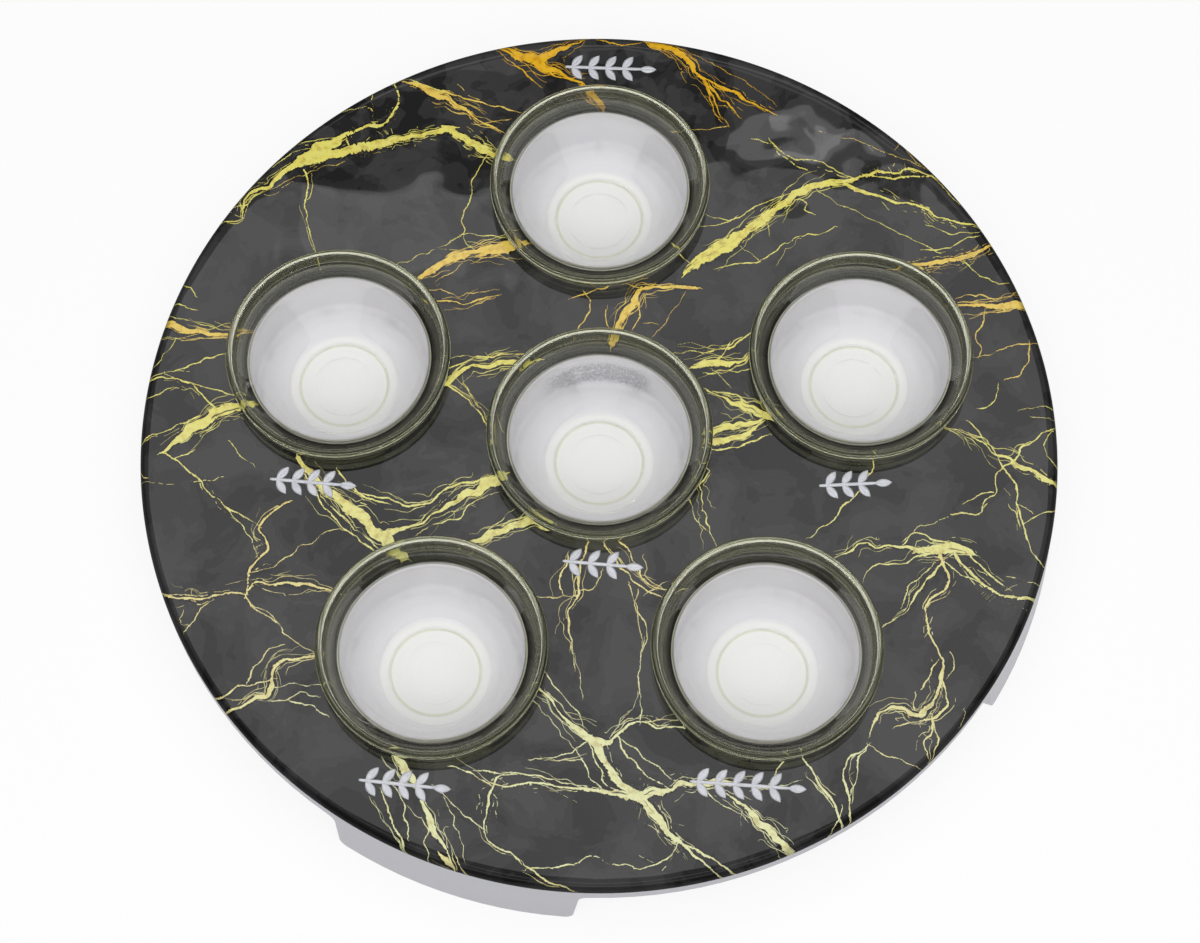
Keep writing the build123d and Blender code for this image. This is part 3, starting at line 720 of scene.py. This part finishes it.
def facing_grid(sizes):
    """Points in mm and faces of the marbled facing.

    Each well owns the part of the plate nearest to it, and there a point is a turn about the well and a step
    from the opening's lower edge up its wall and out to the border: place = middle + reach(turn, step) *
    direction(turn). Mirrored turns make neighbouring parts share their border points. A strip of turns about
    the plate and steps along the turned-down edge's profile closes the rim."""
    radius, top = sizes.plate_radius / MM, sizes.plate_top / MM
    thick, edge, hole = sizes.facing_thickness / MM, sizes.edge_round / MM, sizes.mouth_radius / MM
    flat = radius - edge
    ring = WELLS["back"].y / MM
    lowest = FACING_LOW.z / MM
    corner = np.degrees(np.arctan2(flat * np.sin(np.radians(36)), flat * np.cos(np.radians(36)) - ring))
    border = np.r_[np.linspace(corner, 126, 54, endpoint=False), np.linspace(126, 144, 18, endpoint=False)]
    rim_turns = np.linspace(-corner, corner, 132, endpoint=False)
    outer_turns = np.radians(np.r_[rim_turns, border, np.linspace(144, 216, 73), 360 - border[:0:-1]])
    middle_turns = np.radians(np.linspace(0, 360, 360, endpoint=False))
    steps = np.linspace(0, 1, 35)
    points, faces, count = [], [], 0
    for name, well in WELLS.items():
        if name == "centre":
            outward, turns = np.radians(90), middle_turns
            reach = ring / 2 / np.cos((turns + np.radians(36)) % np.radians(72) - np.radians(36))
        else:
            outward, turns = np.arctan2(well.y, well.x), outer_turns
            away = np.abs((turns + np.pi) % (2 * np.pi) - np.pi)
            rim = -ring * np.cos(away) + np.sqrt(flat ** 2 - (ring * np.sin(away)) ** 2)
            side = ring * np.sin(np.radians(36)) / np.maximum(np.cos(away - np.radians(126)), 1e-6)
            inner = ring / 2 / np.maximum(np.cos(np.pi - away), 1e-6)
            reach = np.where(away <= np.radians(corner) + 1e-9, rim, np.minimum(side, inner))
        out = np.column_stack([reach, np.full_like(reach, hole), hole + (reach - hole)[:, None] * steps])
        height = np.broadcast_to(np.r_[top - thick, top - thick, np.full(len(steps), top)], out.shape)
        angle = (turns + outward)[:, None]
        x, y = well.x / MM + out * np.cos(angle), well.y / MM + out * np.sin(angle)
        grid = np.stack([x, y, height], axis=-1)
        points.append(grid.reshape(-1, 3))
        faces.append(quads(*grid.shape[:2], close_rows=True, first=count))
        count += grid.shape[0] * grid.shape[1]
    on_rim = outer_turns[:len(rim_turns)]
    local = -ring * np.cos(on_rim) + np.sqrt(flat ** 2 - (ring * np.sin(on_rim)) ** 2)
    azimuth = np.arctan2(local * np.sin(on_rim), ring + local * np.cos(on_rim))
    around = np.concatenate([azimuth + np.radians(90 + 72 * k) for k in range(5)])
    sweep = np.linspace(0, np.pi / 2, 11)
    back = np.linspace(np.pi / 2, 0, 5)
    inside = edge - thick
    across = np.r_[flat + edge * np.sin(sweep), radius, radius - thick, flat + inside * np.sin(back)]
    height = np.r_[top - edge + edge * np.cos(sweep), lowest, lowest, top - edge + inside * np.cos(back)]
    strip = np.stack([np.cos(around)[:, None] * across, np.sin(around)[:, None] * across,
                      np.broadcast_to(height, (len(around), len(height)))], axis=-1)
    points.append(strip.reshape(-1, 3))
    faces.append(quads(*strip.shape[:2], close_rows=True, first=count))
    return np.concatenate(points), np.concatenate(faces)


def laid_flat(places, sizes):
    """Flat places in mm of the facing's points once its turned-down edge is rolled out."""
    top, edge = sizes.plate_top / MM, sizes.edge_round / MM
    flat = sizes.plate_radius / MM - edge
    radius = np.hypot(places[:, 0], places[:, 1])
    drop = np.clip(np.arctan2(radius - flat, places[:, 2] - (top - edge)), 0, 2) * edge
    stretch = np.where(radius > flat, (flat + drop) / np.maximum(radius, 1e-6), 1.0)
    return places[:, :2] * stretch[:, None]


def coat_ripple(places, top, height):
    """Soft waves of the clear coat: a sum of seeded plane waves that fades at the drooping rim."""
    random = np.random.default_rng(7)
    count, shortest, longest = 26, 16, 52
    waves = random.uniform(shortest, longest, count)
    headings = random.uniform(0, 2 * np.pi, count)
    phases = random.uniform(0, 2 * np.pi, count)
    run = places[:, :1] * np.cos(headings) + places[:, 1:2] * np.sin(headings)
    heights = waves / ((shortest + longest) / 2)
    lift = (np.sin(2 * np.pi * run / waves + phases) * heights).sum(1) / np.sqrt(count / 2)
    radius = np.hypot(places[:, 0], places[:, 1])
    fade = np.clip((197 - radius) / 12, 0, 1) * np.clip(1 - (top - places[:, 2]) / 0.5, 0, 1)
    droop = 0.16 * np.clip((radius - 193) / 3.4, 0, 1) ** 2
    return height * lift * fade - droop


def vein_attribute(place, name):
    """Offset from the nearest vein, its half-width and its run, in mm, from an attribute of the mesh."""
    return place.node("ShaderNodeAttribute", {"attribute_name": name}, None, "Vector").split()


def marble_material(colours):
    """Glossy black marble: veins from the mesh's attributes, torn and streaked along their run by noise; the
    mottled ground carries painted reflection blotches and the turned-down edge painted shade.
    """
    material, shader, place = finish("marble_print", {"IOR": 1.5})
    y = place.split()[1]
    drift = place.noise(0.13, 3.0, 0.6) - 0.5
    ragged = place.noise(0.55, 4.0, 0.7) - 0.5
    masks, fringes = [], []
    for layer in range(VEIN_LAYERS):
        offset, half, run = vein_attribute(place, f"vein_{layer}")
        torn = (run * 0.11).joined(offset * 0.8, float(layer)).noise(1.0, 4.0, 0.6) - 0.5
        size = half.high(0.1).low(1.7)
        solid = 0.4 + half.step(0.5, 2.0) * 0.34
        edge = half * (solid + drift * 1.4) - abs(offset + ragged * 1.5)
        edge = edge + torn * size * 0.95 + ragged * size * 0.5
        split = (run * 0.06).joined(offset * 0.8, layer + 9.5).noise(1.0, 3.0, 0.6)
        split = split.step(0.625, 0.65) * half.step(1.1, 2.0)
        masks.append(edge.step(-0.06, 0.06) * (1.0 - split * 0.9) * half.step(-1.5, -0.5))
        fringes.append(edge.step(-1.3, -0.1) * half.step(0.5, 1.3))
    for layer in range(THREAD_LAYERS):
        offset, half, _ = vein_attribute(place, f"thread_{layer}")
        edge = half * (0.75 + drift * 2.6) - abs(offset + ragged * 0.5)
        masks.append(edge.step(-0.06, 0.08) * 0.85)
    gold = reduce(Wire.high, masks)
    fringe = reduce(Wire.high, fringes)
    tone = place.node("ShaderNodeAttribute", {"attribute_name": "vein_tone"}, None, "Fac")
    stops = ((ORANGE, colours.vein_orange), (GOLD, colours.vein_gold), (LEMON, colours.vein_lemon),
             (CREAM, colours.vein_cream))
    toned = tone.node("ShaderNodeValToRGB", {"stops": stops}, {"Fac": tone + drift * 0.25})
    toned = toned.mix(colours.vein_cream, (1.0 - y.step(-130.0, 70.0)) * 0.75)
    worn = toned.scaled((0.75, 0.66, 0.55))
    vein = worn.mix(toned, place.noise(0.3, 4.0, 0.6).step(0.3, 0.55))
    # Mottling of the ground: partly the marble's own clouding, partly painted reflection blotches; the
    # far_back term adds more painted reflection blotches at the back
    cloud = place.noise(0.034, 4.0, 0.55, 0.4)
    mottle_and_painted_reflection = cloud.step(0.42, 0.44) * 0.36 + cloud.step(0.5, 0.515) * 0.28 + cloud.step(0.57, 0.58) * 0.36
    mottle_and_painted_reflection = mottle_and_painted_reflection + (place.noise(0.012, 2.0) - 0.42) * 1.2 + (place.noise(2.2, 3.0, 0.8) - 0.5) * 0.8
    mottle_and_painted_reflection = mottle_and_painted_reflection - fringe * place.noise(0.35, 3.0, 0.7).step(0.42, 0.54) * 1.6
    far_back = y.step(90.0, 140.0)
    mottle_and_painted_reflection = mottle_and_painted_reflection + (place.noise(0.09, 1.0).step(0.47, 0.51) - 0.4) * far_back * 0.6
    ground = place.blend(colours.marble, [4.6 * c for c in colours.marble], mottle_and_painted_reflection)
    waves = (place.noise(0.045, 0.6, 0.4) - 0.5) * (0.5 + far_back * 0.5)
    print_colour = ground.mix(vein, gold)
    feed(shader, Base_Color=print_colour, Roughness=place.noise(0.08, 3.0) * 0.02 + 0.012,
         Normal=waves.bump(1.0, 0.0002))
    # Painted shade: the turned-down edge is drawn at 0.6 of the print's colour and without gloss, so that it
    # renders dark
    painted_shade_edge = place.node("ShaderNodeBsdfPrincipled", None, {
        "Base Color": print_colour.scaled((0.6, 0.6, 0.6)), "Roughness": 0.6, "Specular IOR Level": 0.0})
    coated = Wire(place.tree, shader.outputs[0])
    turned_down = axis_distance(place).step(*TURNED_EDGE) * 0.85
    show(material, place.node("ShaderNodeMixShader", None, {0: turned_down, 1: coated, 2: painted_shade_edge}))
    return material


def axis_distance(place, x=0.0, y=0.0):
    """Distance in mm of a place from an upright axis."""
    flat = place.scaled((1.0, 1.0, 0.0))
    return place.node("ShaderNodeVectorMath", {"operation": "DISTANCE"}, {0: flat, 1: (x, y, 0.0)}, "Value")


def well_distance(place):
    """Distance in mm of a place from the axis of the nearest well."""
    return reduce(Wire.low, [axis_distance(place, well.x / MM, well.y / MM) for well in WELLS.values()])


def aluminium_material(colours):
    """Bare aluminium: turned rings and pits in the wells, fine marks round the side, sand below; painted
    shade in the wells' lower corners, a painted dark reflection in the middle well, and painted light on the
    well walls and floors.
    """
    material, shader, place = finish("cast_aluminium", {})
    x, y, z = place.split()
    radius = axis_distance(place)
    turned = well_distance(place)
    inside = 1.0 - turned.step(*WELL_MOUTH)
    outside = 1.0 - inside
    rings = turned.joined(0.0, 0.0).noise(1.1, 4.0, 0.7)
    fine = turned.joined(0.0, 0.0).noise(5.0, 2.0, 0.7)
    side = radius.step(*CAST_SIDE)
    angle = x.math("ARCTAN2", y, x)
    marks = (angle * 30.0).joined(z * 1.6, radius * 0.4).noise(1.0, 4.0, 0.75)
    sand = place.noise(0.8, 5.0, 0.7)
    # Painted shade: blotchy darkening low in each well's corner, where the wall meets the floor
    corner_shade_blotches = place.noise(0.07, 4.0, 0.65).step(0.45, 0.72)
    corner = turned.step(33.0, 37.0) * (1.0 - z.step(9.0, 14.0))
    pits = place.noise(0.9, 1.0).step(0.76, 0.8)
    # Painted light: each well's wall is drawn lighter towards its top, and its floor lighter in a disc under
    # the bowl's base
    wall = place.blend((0.83, 0.82, 0.85), (0.99, 0.98, 1.0), z.step(12.0, 30.0))
    floor = place.blend((0.84, 0.84, 0.83), (0.755, 0.75, 0.775), turned.step(23.0, 25.5))
    bare = place.blend(colours.aluminium, floor.mix(wall, z.step(7.8, 9.0)), inside)
    dull = bare.scaled((0.5, 0.5, 0.52))
    # Painted reflection: a dark speckled patch on the back wall of the middle well
    painted_dark_reflection = (1.0 - abs(x).step(12.0, 30.0)) * y.step(28.0, 34.0) * (1.0 - y.step(41.0, 42.0))
    painted_dark_reflection = painted_dark_reflection * z.step(8.0, 13.0) * (1.0 - z.step(22.0, 31.0))
    painted_dark_reflection = painted_dark_reflection * place.noise(0.12, 3.0, 0.6).step(0.3, 0.5) * place.noise(1.1, 2.0, 0.7).step(0.38, 0.55)
    # The darker copy of the metal carries real pits, turned rings and side marks, and also the painted corner
    # shade and painted dark reflection
    wear_and_painted_shade = inside * (corner_shade_blotches * corner * 0.3 + painted_dark_reflection * 1.8 + pits * 0.5 + (rings - 0.5) * 0.6)
    wear_and_painted_shade = wear_and_painted_shade + side * (marks - 0.5).high(0.0) * 0.5
    lift = (rings * 0.6 + fine * 0.4) * inside + marks * side * outside + sand * outside * (1.0 - side)
    rough = 0.36 + inside * 0.2 + (fine - 0.5) * 0.12 * inside + (sand - 0.5) * 0.2 * outside
    feed(shader, Base_Color=bare.mix(dull, wear_and_painted_shade.high(0.0).low(1.0)), Roughness=rough,
         Metallic=0.7 - inside * 0.55, Normal=lift.bump(0.25, 0.0002))
    return material


def glass_material(colours):
    """Pressed glass, olive in its thick collar and foot ring; its thin body lets most light through. A
    painted dark band inside the collar stands for shade, and pale lines mixed in as a dull finish are painted
    highlights.
    """
    constants = {"Transmission Weight": 1.0, "Roughness": 0.0, "IOR": 1.5}
    material, shader, place = finish("pressed_glass", constants)
    across = well_distance(place)
    height = place.split()[2]
    collar = across.step(*COLLAR)
    # Painted shade: a dark band inside the collar, next to the well's opening
    painted_dark_band = collar * (1.0 - across.step(41.0, 43.5))
    lines = (across * 1.5).joined(height * 0.5, 0.0).noise(1.0, 1.0, 0.5).step(0.5, 0.56)
    ring = (1.0 - abs(across - FOOT_RING).step(0.25, 0.7)) * (1.0 - height.step(9.0, 10.0))
    rim_line = (1.0 - abs(across - RIM_LINE).step(0.1, 0.35)) * 0.8
    bright = rim_line + (1.0 - abs(across - INNER_LINE).step(0.2, 0.5)) * 0.6
    pale = (lines * (1.0 - across.step(44.0, 45.0))).high(bright) * collar
    olive = place.blend((0.93, 0.93, 0.86), colours.glass, across.step(44.5, 47.5).high(ring))
    olive = olive.mix(colours.glass_pale, pale)
    tint = place.blend((0.995, 0.995, 0.99), olive, collar.high(ring))
    tint = tint.mix((0.22, 0.22, 0.18), painted_dark_band * (1.0 - lines * 0.6))
    feed(shader, Base_Color=tint, Normal=place.noise(0.11, 2.0).bump(0.05, 0.0006))
    shadow = place.node("ShaderNodeLightPath", None, None, "Is Shadow Ray")
    clear = place.node("ShaderNodeBsdfTransparent", None, {"Color": (0.995, 0.995, 0.992, 1.0)})
    share = ((1.0 - collar) * (0.86 - ring * 0.5)).high(shadow)
    # Painted highlights: where the bright lines run on the rim and collar, a dull pale finish is mixed in
    painted_highlight = place.node("ShaderNodeBsdfPrincipled", None, {
        "Base Color": (0.72, 0.72, 0.54, 1.0), "Roughness": 0.5, "Specular IOR Level": 0.2})
    glass = Wire(place.tree, shader.outputs[0])
    glass = place.node("ShaderNodeMixShader", None, {0: bright * collar * 0.1, 1: glass, 2: painted_highlight})
    show(material, place.node("ShaderNodeMixShader", None, {0: share, 1: glass, 2: clear}))
    return material


def silver_material(colours):
    """Satin silver with fine brushing and a little tarnish."""
    material, shader, place = finish("satin_silver", {"Metallic": 0.55})
    brushed = place.scaled((0.25, 3.0, 1.0)).noise(1.0, 3.0, 0.7)
    tarnish = place.noise(0.3, 3.0).step(0.4, 0.75)
    dull = [part * shade for part, shade in zip(colours.silver, (0.72, 0.72, 0.74), strict=True)]
    feed(shader, Base_Color=place.blend(colours.silver, dull, tarnish * 0.5),
         Roughness=brushed * 0.16 + 0.34, Normal=brushed.bump(0.12, 0.0001))
    return material


def rounded_profile(corners, segments=7):
    """Points along a profile of (across, height, round) corners, each round an arc between its two sides."""
    spots = np.array([corner[:2] for corner in corners], float)
    points = [spots[:1]]
    sizes = [corner[2] for corner in corners[1:-1]]
    for before, corner, after, size in zip(spots[:-2], spots[1:-1], spots[2:], sizes, strict=True):
        if size <= 0:
            points.append(corner[None])
            continue
        to_before = (before - corner) / np.linalg.norm(before - corner)
        to_after = (after - corner) / np.linalg.norm(after - corner)
        half_angle = np.arccos(np.clip(to_before @ to_after, -1, 1)) / 2
        bisector = (to_before + to_after) / np.linalg.norm(to_before + to_after)
        middle = corner + bisector * size / np.sin(half_angle)
        start = corner + to_before * size / np.tan(half_angle) - middle
        end = corner + to_after * size / np.tan(half_angle) - middle
        turn = np.arctan2(start[0] * end[1] - start[1] * end[0], start @ end)
        angles = np.linspace(0, turn, segments)[:, None]
        across = np.array([-start[1], start[0]])
        points.append(middle + np.cos(angles) * start + np.sin(angles) * across)
    points.append(spots[-1:])
    return np.concatenate(points)


# Half section of a bowl from the middle of its inside floor over the rim to the middle of its base, in mm:
# radius, height above the bowl's lowest point, corner round
BOWL_SECTION = (
    (0, 5.5, 0), (23.77, 5.5, 7), (36, 33, 1.6), (45.5, 35, 1.6), (46.3, 40, 1.4), (49.3, 40, 1.4),
    (48.5, 31.8, 1.6), (39, 29.8, 1.6), (24, 0.08, 3), (20, 0.08, 0), (20, 0.8, 0.3), (14.5, 0.8, 0),
    (14.2, 0.5, 0), (13.8, 0.5, 0), (13.5, 0.8, 0), (0, 0.8, 0),
)


def fine_profile(profile, longest):
    """The profile with every long straight divided into equal parts."""
    pieces = [np.linspace(a, b, max(2, int(np.ceil(np.linalg.norm(b - a) / longest)) + 1))[:-1]
              for a, b in zip(profile[:-1], profile[1:], strict=True)]
    return np.concatenate([*pieces, profile[-1:]])


def bowl_points(well, low, turns=144):
    """Surface of revolution of the bowl's section about its well's axis, pressed a hair out of round."""
    section = fine_profile(rounded_profile(BOWL_SECTION), 3.0)
    angle = np.linspace(0, 2 * np.pi, turns, endpoint=False)[:, None]
    sway = 0.0008 * np.sin(3 * angle + well.x * 90) + 0.0005 * np.sin(7 * angle + well.y * 70)
    across = section[:, 0] * (1 + sway)
    grid = np.stack([well.x / MM + across * np.cos(angle), well.y / MM + across * np.sin(angle),
                     np.broadcast_to(low / MM + section[:, 1], across.shape)], axis=-1)
    return grid.reshape(-1, 3) * MM, quads(turns, len(section), close_rows=True)


# Sprigs: shift from the well's middle in mm, turn in degrees, length in mm and pairs of leaves
SPRIGS = {
    "centre": (1.5, -57.8, -5.0, 35.0, 3),
    "back": (5.0, 62.7, -2.0, 42.0, 4),
    "right": (-3.4, -57.8, 3.0, 32.0, 3),
    "front_right": (-8.7, -57.8, -4.0, 49.0, 5),
    "front_left": (-10.3, -57.8, -6.0, 39.0, 4),
    "left": (-9.6, -57.8, -5.0, 38.0, 4),
}
LEAF_LENGTH, LEAF_HALF_WIDTH, LEAF_ANGLE, STALK, STEM_HALF_WIDTH = 8.0, 1.9, 52.0, 3.0, 0.85


def blade(length, half_width, fullness, crease, thickness, rows=21, columns=15):
    """A leaf or stem: across = half_width * (4u(1-u))^fullness * v, height = a flat arch with a crease."""
    u = (1 - np.cos(np.linspace(0, np.pi, rows)))[:, None] / 2
    v = np.sin(np.linspace(-np.pi / 2, np.pi / 2, columns))[None]
    reach = half_width * np.maximum(4 * u * (1 - u), 0) ** fullness
    end = np.minimum(1, reach / half_width * 4)
    arch = (1 - np.abs(v) ** 6) ** 0.5 * (0.84 + 0.16 * (1 - v ** 2)) - crease * np.exp(-(v / 0.16) ** 2)
    top = np.stack(np.broadcast_arrays(u * length, -v * reach, thickness * arch * end), axis=-1)
    bottom = top[:, -2:0:-1] * (1, 1, 0)
    grid = np.concatenate([top, bottom], axis=1)
    return grid.reshape(-1, 3), quads(rows, grid.shape[1], close_columns=True)


def placed(points, x, y, turn):
    """Points turned about Z by degrees and moved."""
    angle = np.radians(turn)
    matrix = np.array([[np.cos(angle), -np.sin(angle), 0], [np.sin(angle), np.cos(angle), 0], [0, 0, 1]])
    return points @ matrix.T + (x, y, 0)


def sprig_points(well, top, shift_x, shift_y, turn, length, pairs, thickness):
    """Stem and leaves of one sprig, laid along X about its own middle, then turned and moved to its place."""
    stem_length = length - LEAF_LENGTH + 2 * STEM_HALF_WIDTH
    stem, stem_faces = blade(stem_length, STEM_HALF_WIDTH, 0.12, 0.0, thickness * 0.9)
    leaf, leaf_faces = blade(LEAF_LENGTH, LEAF_HALF_WIDTH, 1.0, 0.3, thickness)
    step = (length - LEAF_LENGTH - STALK) / pairs
    parts = [(stem, stem_faces), (placed(leaf, length - LEAF_LENGTH, 0, 0), leaf_faces)]
    for index in range(pairs):
        for angle in (LEAF_ANGLE, -LEAF_ANGLE):
            parts.append((placed(leaf, STALK + index * step, 0, angle), leaf_faces))
    counts = np.cumsum([0] + [len(points) for points, _ in parts])
    points = np.concatenate([points for points, _ in parts]) - (length / 2, 0, 0)
    faces = np.concatenate([faces + first for (_, faces), first in zip(parts, counts[:-1], strict=True)])
    points = placed(points, well.x / MM + shift_x, well.y / MM + shift_y, turn) + (0, 0, top / MM)
    return points * MM, faces


class SEDERPLATE_OT_casting(bpy.types.Operator):
    """Give the cast base its bare aluminium"""

    bl_idname = "sederplate.casting"
    bl_label = "Finish the casting"

    def execute(self, context):
        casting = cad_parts["cast_base"]
        casting.data.materials.clear()
        casting.data.materials.append(aluminium_material(context.scene.seder_colours))
        return {"FINISHED"}


class SEDERPLATE_OT_facing(bpy.types.Operator):
    """Build the marbled facing with its veins"""

    bl_idname = "sederplate.facing"
    bl_label = "Build the marbled facing"

    def execute(self, context):
        sizes = context.scene.seder_sizes
        points, faces = facing_grid(sizes)
        piece = new_piece("marble_facing", points * MM, faces, marble_material(context.scene.seder_colours))
        mesh = piece.data
        places = np.empty(len(mesh.vertices) * 3)
        mesh.vertices.foreach_get("co", places)
        places = places.reshape(-1, 3) / MM
        spots = laid_flat(places, sizes)
        broad, fine = vein_layers()
        fields, tone = vein_field(spots, broad, VEIN_REACH)
        threads, _ = vein_field(spots, fine, THREAD_REACH)
        for kind, layers in (("vein", fields), ("thread", threads)):
            for layer, values in enumerate(layers):
                attribute = mesh.attributes.new(f"{kind}_{layer}", "FLOAT_VECTOR", "POINT")
                attribute.data.foreach_set("vector", values.ravel())
        mesh.attributes.new("vein_tone", "FLOAT", "POINT").data.foreach_set("value", tone)
        places[:, 2] += coat_ripple(places, sizes.plate_top / MM, sizes.ripple / MM)
        mesh.vertices.foreach_set("co", (places * MM).ravel())
        mesh.update()
        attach(piece, "plate")
        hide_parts("marble_laminate")
        return {"FINISHED"}


class SEDERPLATE_OT_bowls(bpy.types.Operator):
    """Build the six glass bowls"""

    bl_idname = "sederplate.bowls"
    bl_label = "Build the glass bowls"

    def execute(self, context):
        material = glass_material(context.scene.seder_colours)
        for name, well in WELLS.items():
            piece = new_piece(f"glass_bowl_{name}", *bowl_points(well, BOWL_LOW.z), material)
            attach(piece, f"{name}_bowl")
            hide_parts(f"bowl_{name}")
        return {"FINISHED"}


class SEDERPLATE_OT_sprigs(bpy.types.Operator):
    """Build the six silver sprigs"""

    bl_idname = "sederplate.sprigs"
    bl_label = "Build the silver sprigs"

    def execute(self, context):
        sizes = context.scene.seder_sizes
        material = silver_material(context.scene.seder_colours)
        for name, sprig in SPRIGS.items():
            shape = sprig_points(WELLS[name], sizes.plate_top, *sprig, sizes.sprig_thickness / MM)
            piece = new_piece(f"silver_sprig_{name}", *shape, material)
            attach(piece, "plate")
            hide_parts(f"sprig_{name}")
        return {"FINISHED"}


# Soft panels: place and aim in metres, width, depth, radiance, and whether mirrors and glass show them
PANELS = {
    "overhead_panel": ((0.0, 0.437, 1.5), (0.0, 0.437, 0.0), 1.3, 0.85, 1.06, True),
    "back_strip": ((0.3, 1.04, 1.5), (0.3, 1.04, 0.0), 0.9, 0.07, 0.45, True),
    "far_strip": ((0.1, 1.2, 1.5), (0.1, 1.2, 0.0), 1.3, 0.1, 0.8, True),
    "small_panel": ((0.22, 0.908, 1.49), (0.22, 0.908, 0.0), 0.16, 0.045, 1.3, True),
    "bright_panel": ((0.235, 0.9, 1.48), (0.235, 0.9, 0.0), 0.07, 0.022, 1.8, True),
    "left_panel": ((-0.2, 0.8, 1.49), (-0.2, 0.8, 0.0), 0.2, 0.1, 0.5, True),
    "front_panel": ((0.0, -1.25, 1.3), (0.0, 0.0, 0.0), 1.8, 0.5, 1.25, True),
    "edge_strip": ((0.0, -0.2, 1.5), (0.0, -0.2, 0.0), 1.1, 0.05, 1.6, True),
    "front_fill": ((0.0, -0.9, 1.5), (0.0, 0.0, 0.0), 2.6, 1.2, 1.85, False),
    "top_fill": ((0.0, 0.1, 1.6), (0.0, 0.1, 0.0), 2.2, 1.6, 0.9, False),
}
# Camera: lens in mm, eye and aim in metres, roll in degrees
CAMERA_LENS = 87.39
CAMERA_EYE = Vector((-0.00692, -0.47045, 1.2158))
CAMERA_AIM = Vector((0.00021, -0.0151, 0.037))
CAMERA_ROLL = 1.003


def area_lamp(name, place, aim, width, depth, radiance, mirrored):
    """A soft panel at a place in metres, aimed at a point, that shines evenly with the given radiance."""
    data = bpy.data.lights.new(name, "AREA")
    data.shape = "RECTANGLE"
    data.size = width
    data.size_y = depth
    data.energy = radiance * np.pi * width * depth
    lamp = bpy.data.objects.new(name, data)
    bpy.context.scene.collection.objects.link(lamp)
    lamp.visible_glossy = mirrored
    lamp.visible_transmission = mirrored
    lamp.location = place
    lamp.rotation_euler = (Vector(aim) - Vector(place)).to_track_quat("-Z", "Y").to_euler()


def backdrop_rays(wire):
    """Wires that are 1 for camera rays, for mirrored rays and for rays through glass."""
    return [wire.node("ShaderNodeLightPath", None, None, f"Is {kind} Ray")
            for kind in ("Camera", "Glossy", "Transmission")]


def studio_world():
    """White to the camera, dimmer at the horizon for mirrored and bent rays; else a room pale overhead."""
    world = bpy.data.worlds.new("studio")
    world.use_nodes = True
    tree = world.node_tree
    tree.nodes.clear()
    start = Wire(tree)
    height = start.node("ShaderNodeTexCoord", None, None, "Generated").split()[2]
    room = height.node("ShaderNodeMapRange", None, {
        "Value": height, "From Min": 0.05, "From Max": 0.95, "To Min": 0.06, "To Max": 0.25})
    camera, mirrored, bent = backdrop_rays(start)
    seen = camera.high(mirrored.high(bent) * (0.3 - height.step(0.0, 0.1) * 0.3))
    strength = room + (1.0 - room) * seen
    background = start.node("ShaderNodeBackground", None, {"Strength": strength})
    output = tree.nodes.new("ShaderNodeOutputWorld")
    tree.links.new(background.socket, output.inputs["Surface"])
    return world


class SEDERPLATE_OT_stage(bpy.types.Operator):
    """Set the floor, lamps, world and camera"""

    bl_idname = "sederplate.stage"
    bl_label = "Set the stage"

    def execute(self, context):
        scene = context.scene
        scene.view_settings.view_transform = "Standard"
        scene.world = studio_world()
        spots = np.array([(x, y, -0.0002) for x in (-6.0, 6.0) for y in (-6.0, 6.0)])
        material, shader, place = finish("pale_floor", {"Roughness": 0.9, "Specular IOR Level": 0.1})
        shade = place.noise(0.002, 2.0) * 0.02
        feed(shader, Base_Color=place.blend(scene.seder_colours.floor, (1.0, 1.0, 1.0), shade))
        glow = place.node("ShaderNodeEmission", None, {"Strength": 1.0})
        share = reduce(Wire.high, backdrop_rays(place)) * 0.85
        lit = Wire(place.tree, shader.outputs[0])
        show(material, place.node("ShaderNodeMixShader", None, {0: share, 1: lit, 2: glow}))
        floor = new_piece("floor", spots, np.array([[0, 2, 3, 1]]), material)
        for name, panel in PANELS.items():
            area_lamp(name, *panel)
        data = bpy.data.cameras.new("camera")
        data.sensor_width = 36.0
        data.lens = CAMERA_LENS
        camera = bpy.data.objects.new("camera", data)
        scene.collection.objects.link(camera)
        turn = (CAMERA_AIM - CAMERA_EYE).to_track_quat("-Z", "Y").to_matrix()
        turn = turn @ Matrix.Rotation(np.radians(CAMERA_ROLL), 3, "Z")
        camera.matrix_world = Matrix.Translation(CAMERA_EYE) @ turn.to_4x4()
        scene.camera = camera
        return {"FINISHED"}


class SEDERPLATE_PT_panel(bpy.types.Panel):
    """Sizes, colours and steps of the seder plate"""

    bl_idname = "SEDERPLATE_PT_panel"
    bl_label = "Seder Plate"
    bl_space_type = "VIEW_3D"
    bl_region_type = "UI"
    bl_category = "Seder Plate"

    def draw(self, context):
        for group in (context.scene.seder_sizes, context.scene.seder_colours):
            box = self.layout.box()
            for name in group.__annotations__:
                box.prop(group, name)
        for step in STEPS:
            self.layout.operator(step.bl_idname)


STEPS = (SEDERPLATE_OT_casting, SEDERPLATE_OT_facing, SEDERPLATE_OT_bowls, SEDERPLATE_OT_sprigs,
         SEDERPLATE_OT_stage)
CLASSES = (SederPlateSizes, SederPlateColours, *STEPS, SEDERPLATE_PT_panel)


def register():
    for each in CLASSES:
        bpy.utils.register_class(each)
    bpy.types.Scene.seder_sizes = bpy.props.PointerProperty(type=SederPlateSizes)
    bpy.types.Scene.seder_colours = bpy.props.PointerProperty(type=SederPlateColours)


def unregister():
    del bpy.types.Scene.seder_colours
    del bpy.types.Scene.seder_sizes
    for each in reversed(CLASSES):
        bpy.utils.unregister_class(each)


def main():
    register()
    bpy.ops.sederplate.casting()
    bpy.ops.sederplate.facing()
    bpy.ops.sederplate.bowls()
    bpy.ops.sederplate.sprigs()
    bpy.ops.sederplate.stage()


if __name__ == "__main__":
    main()
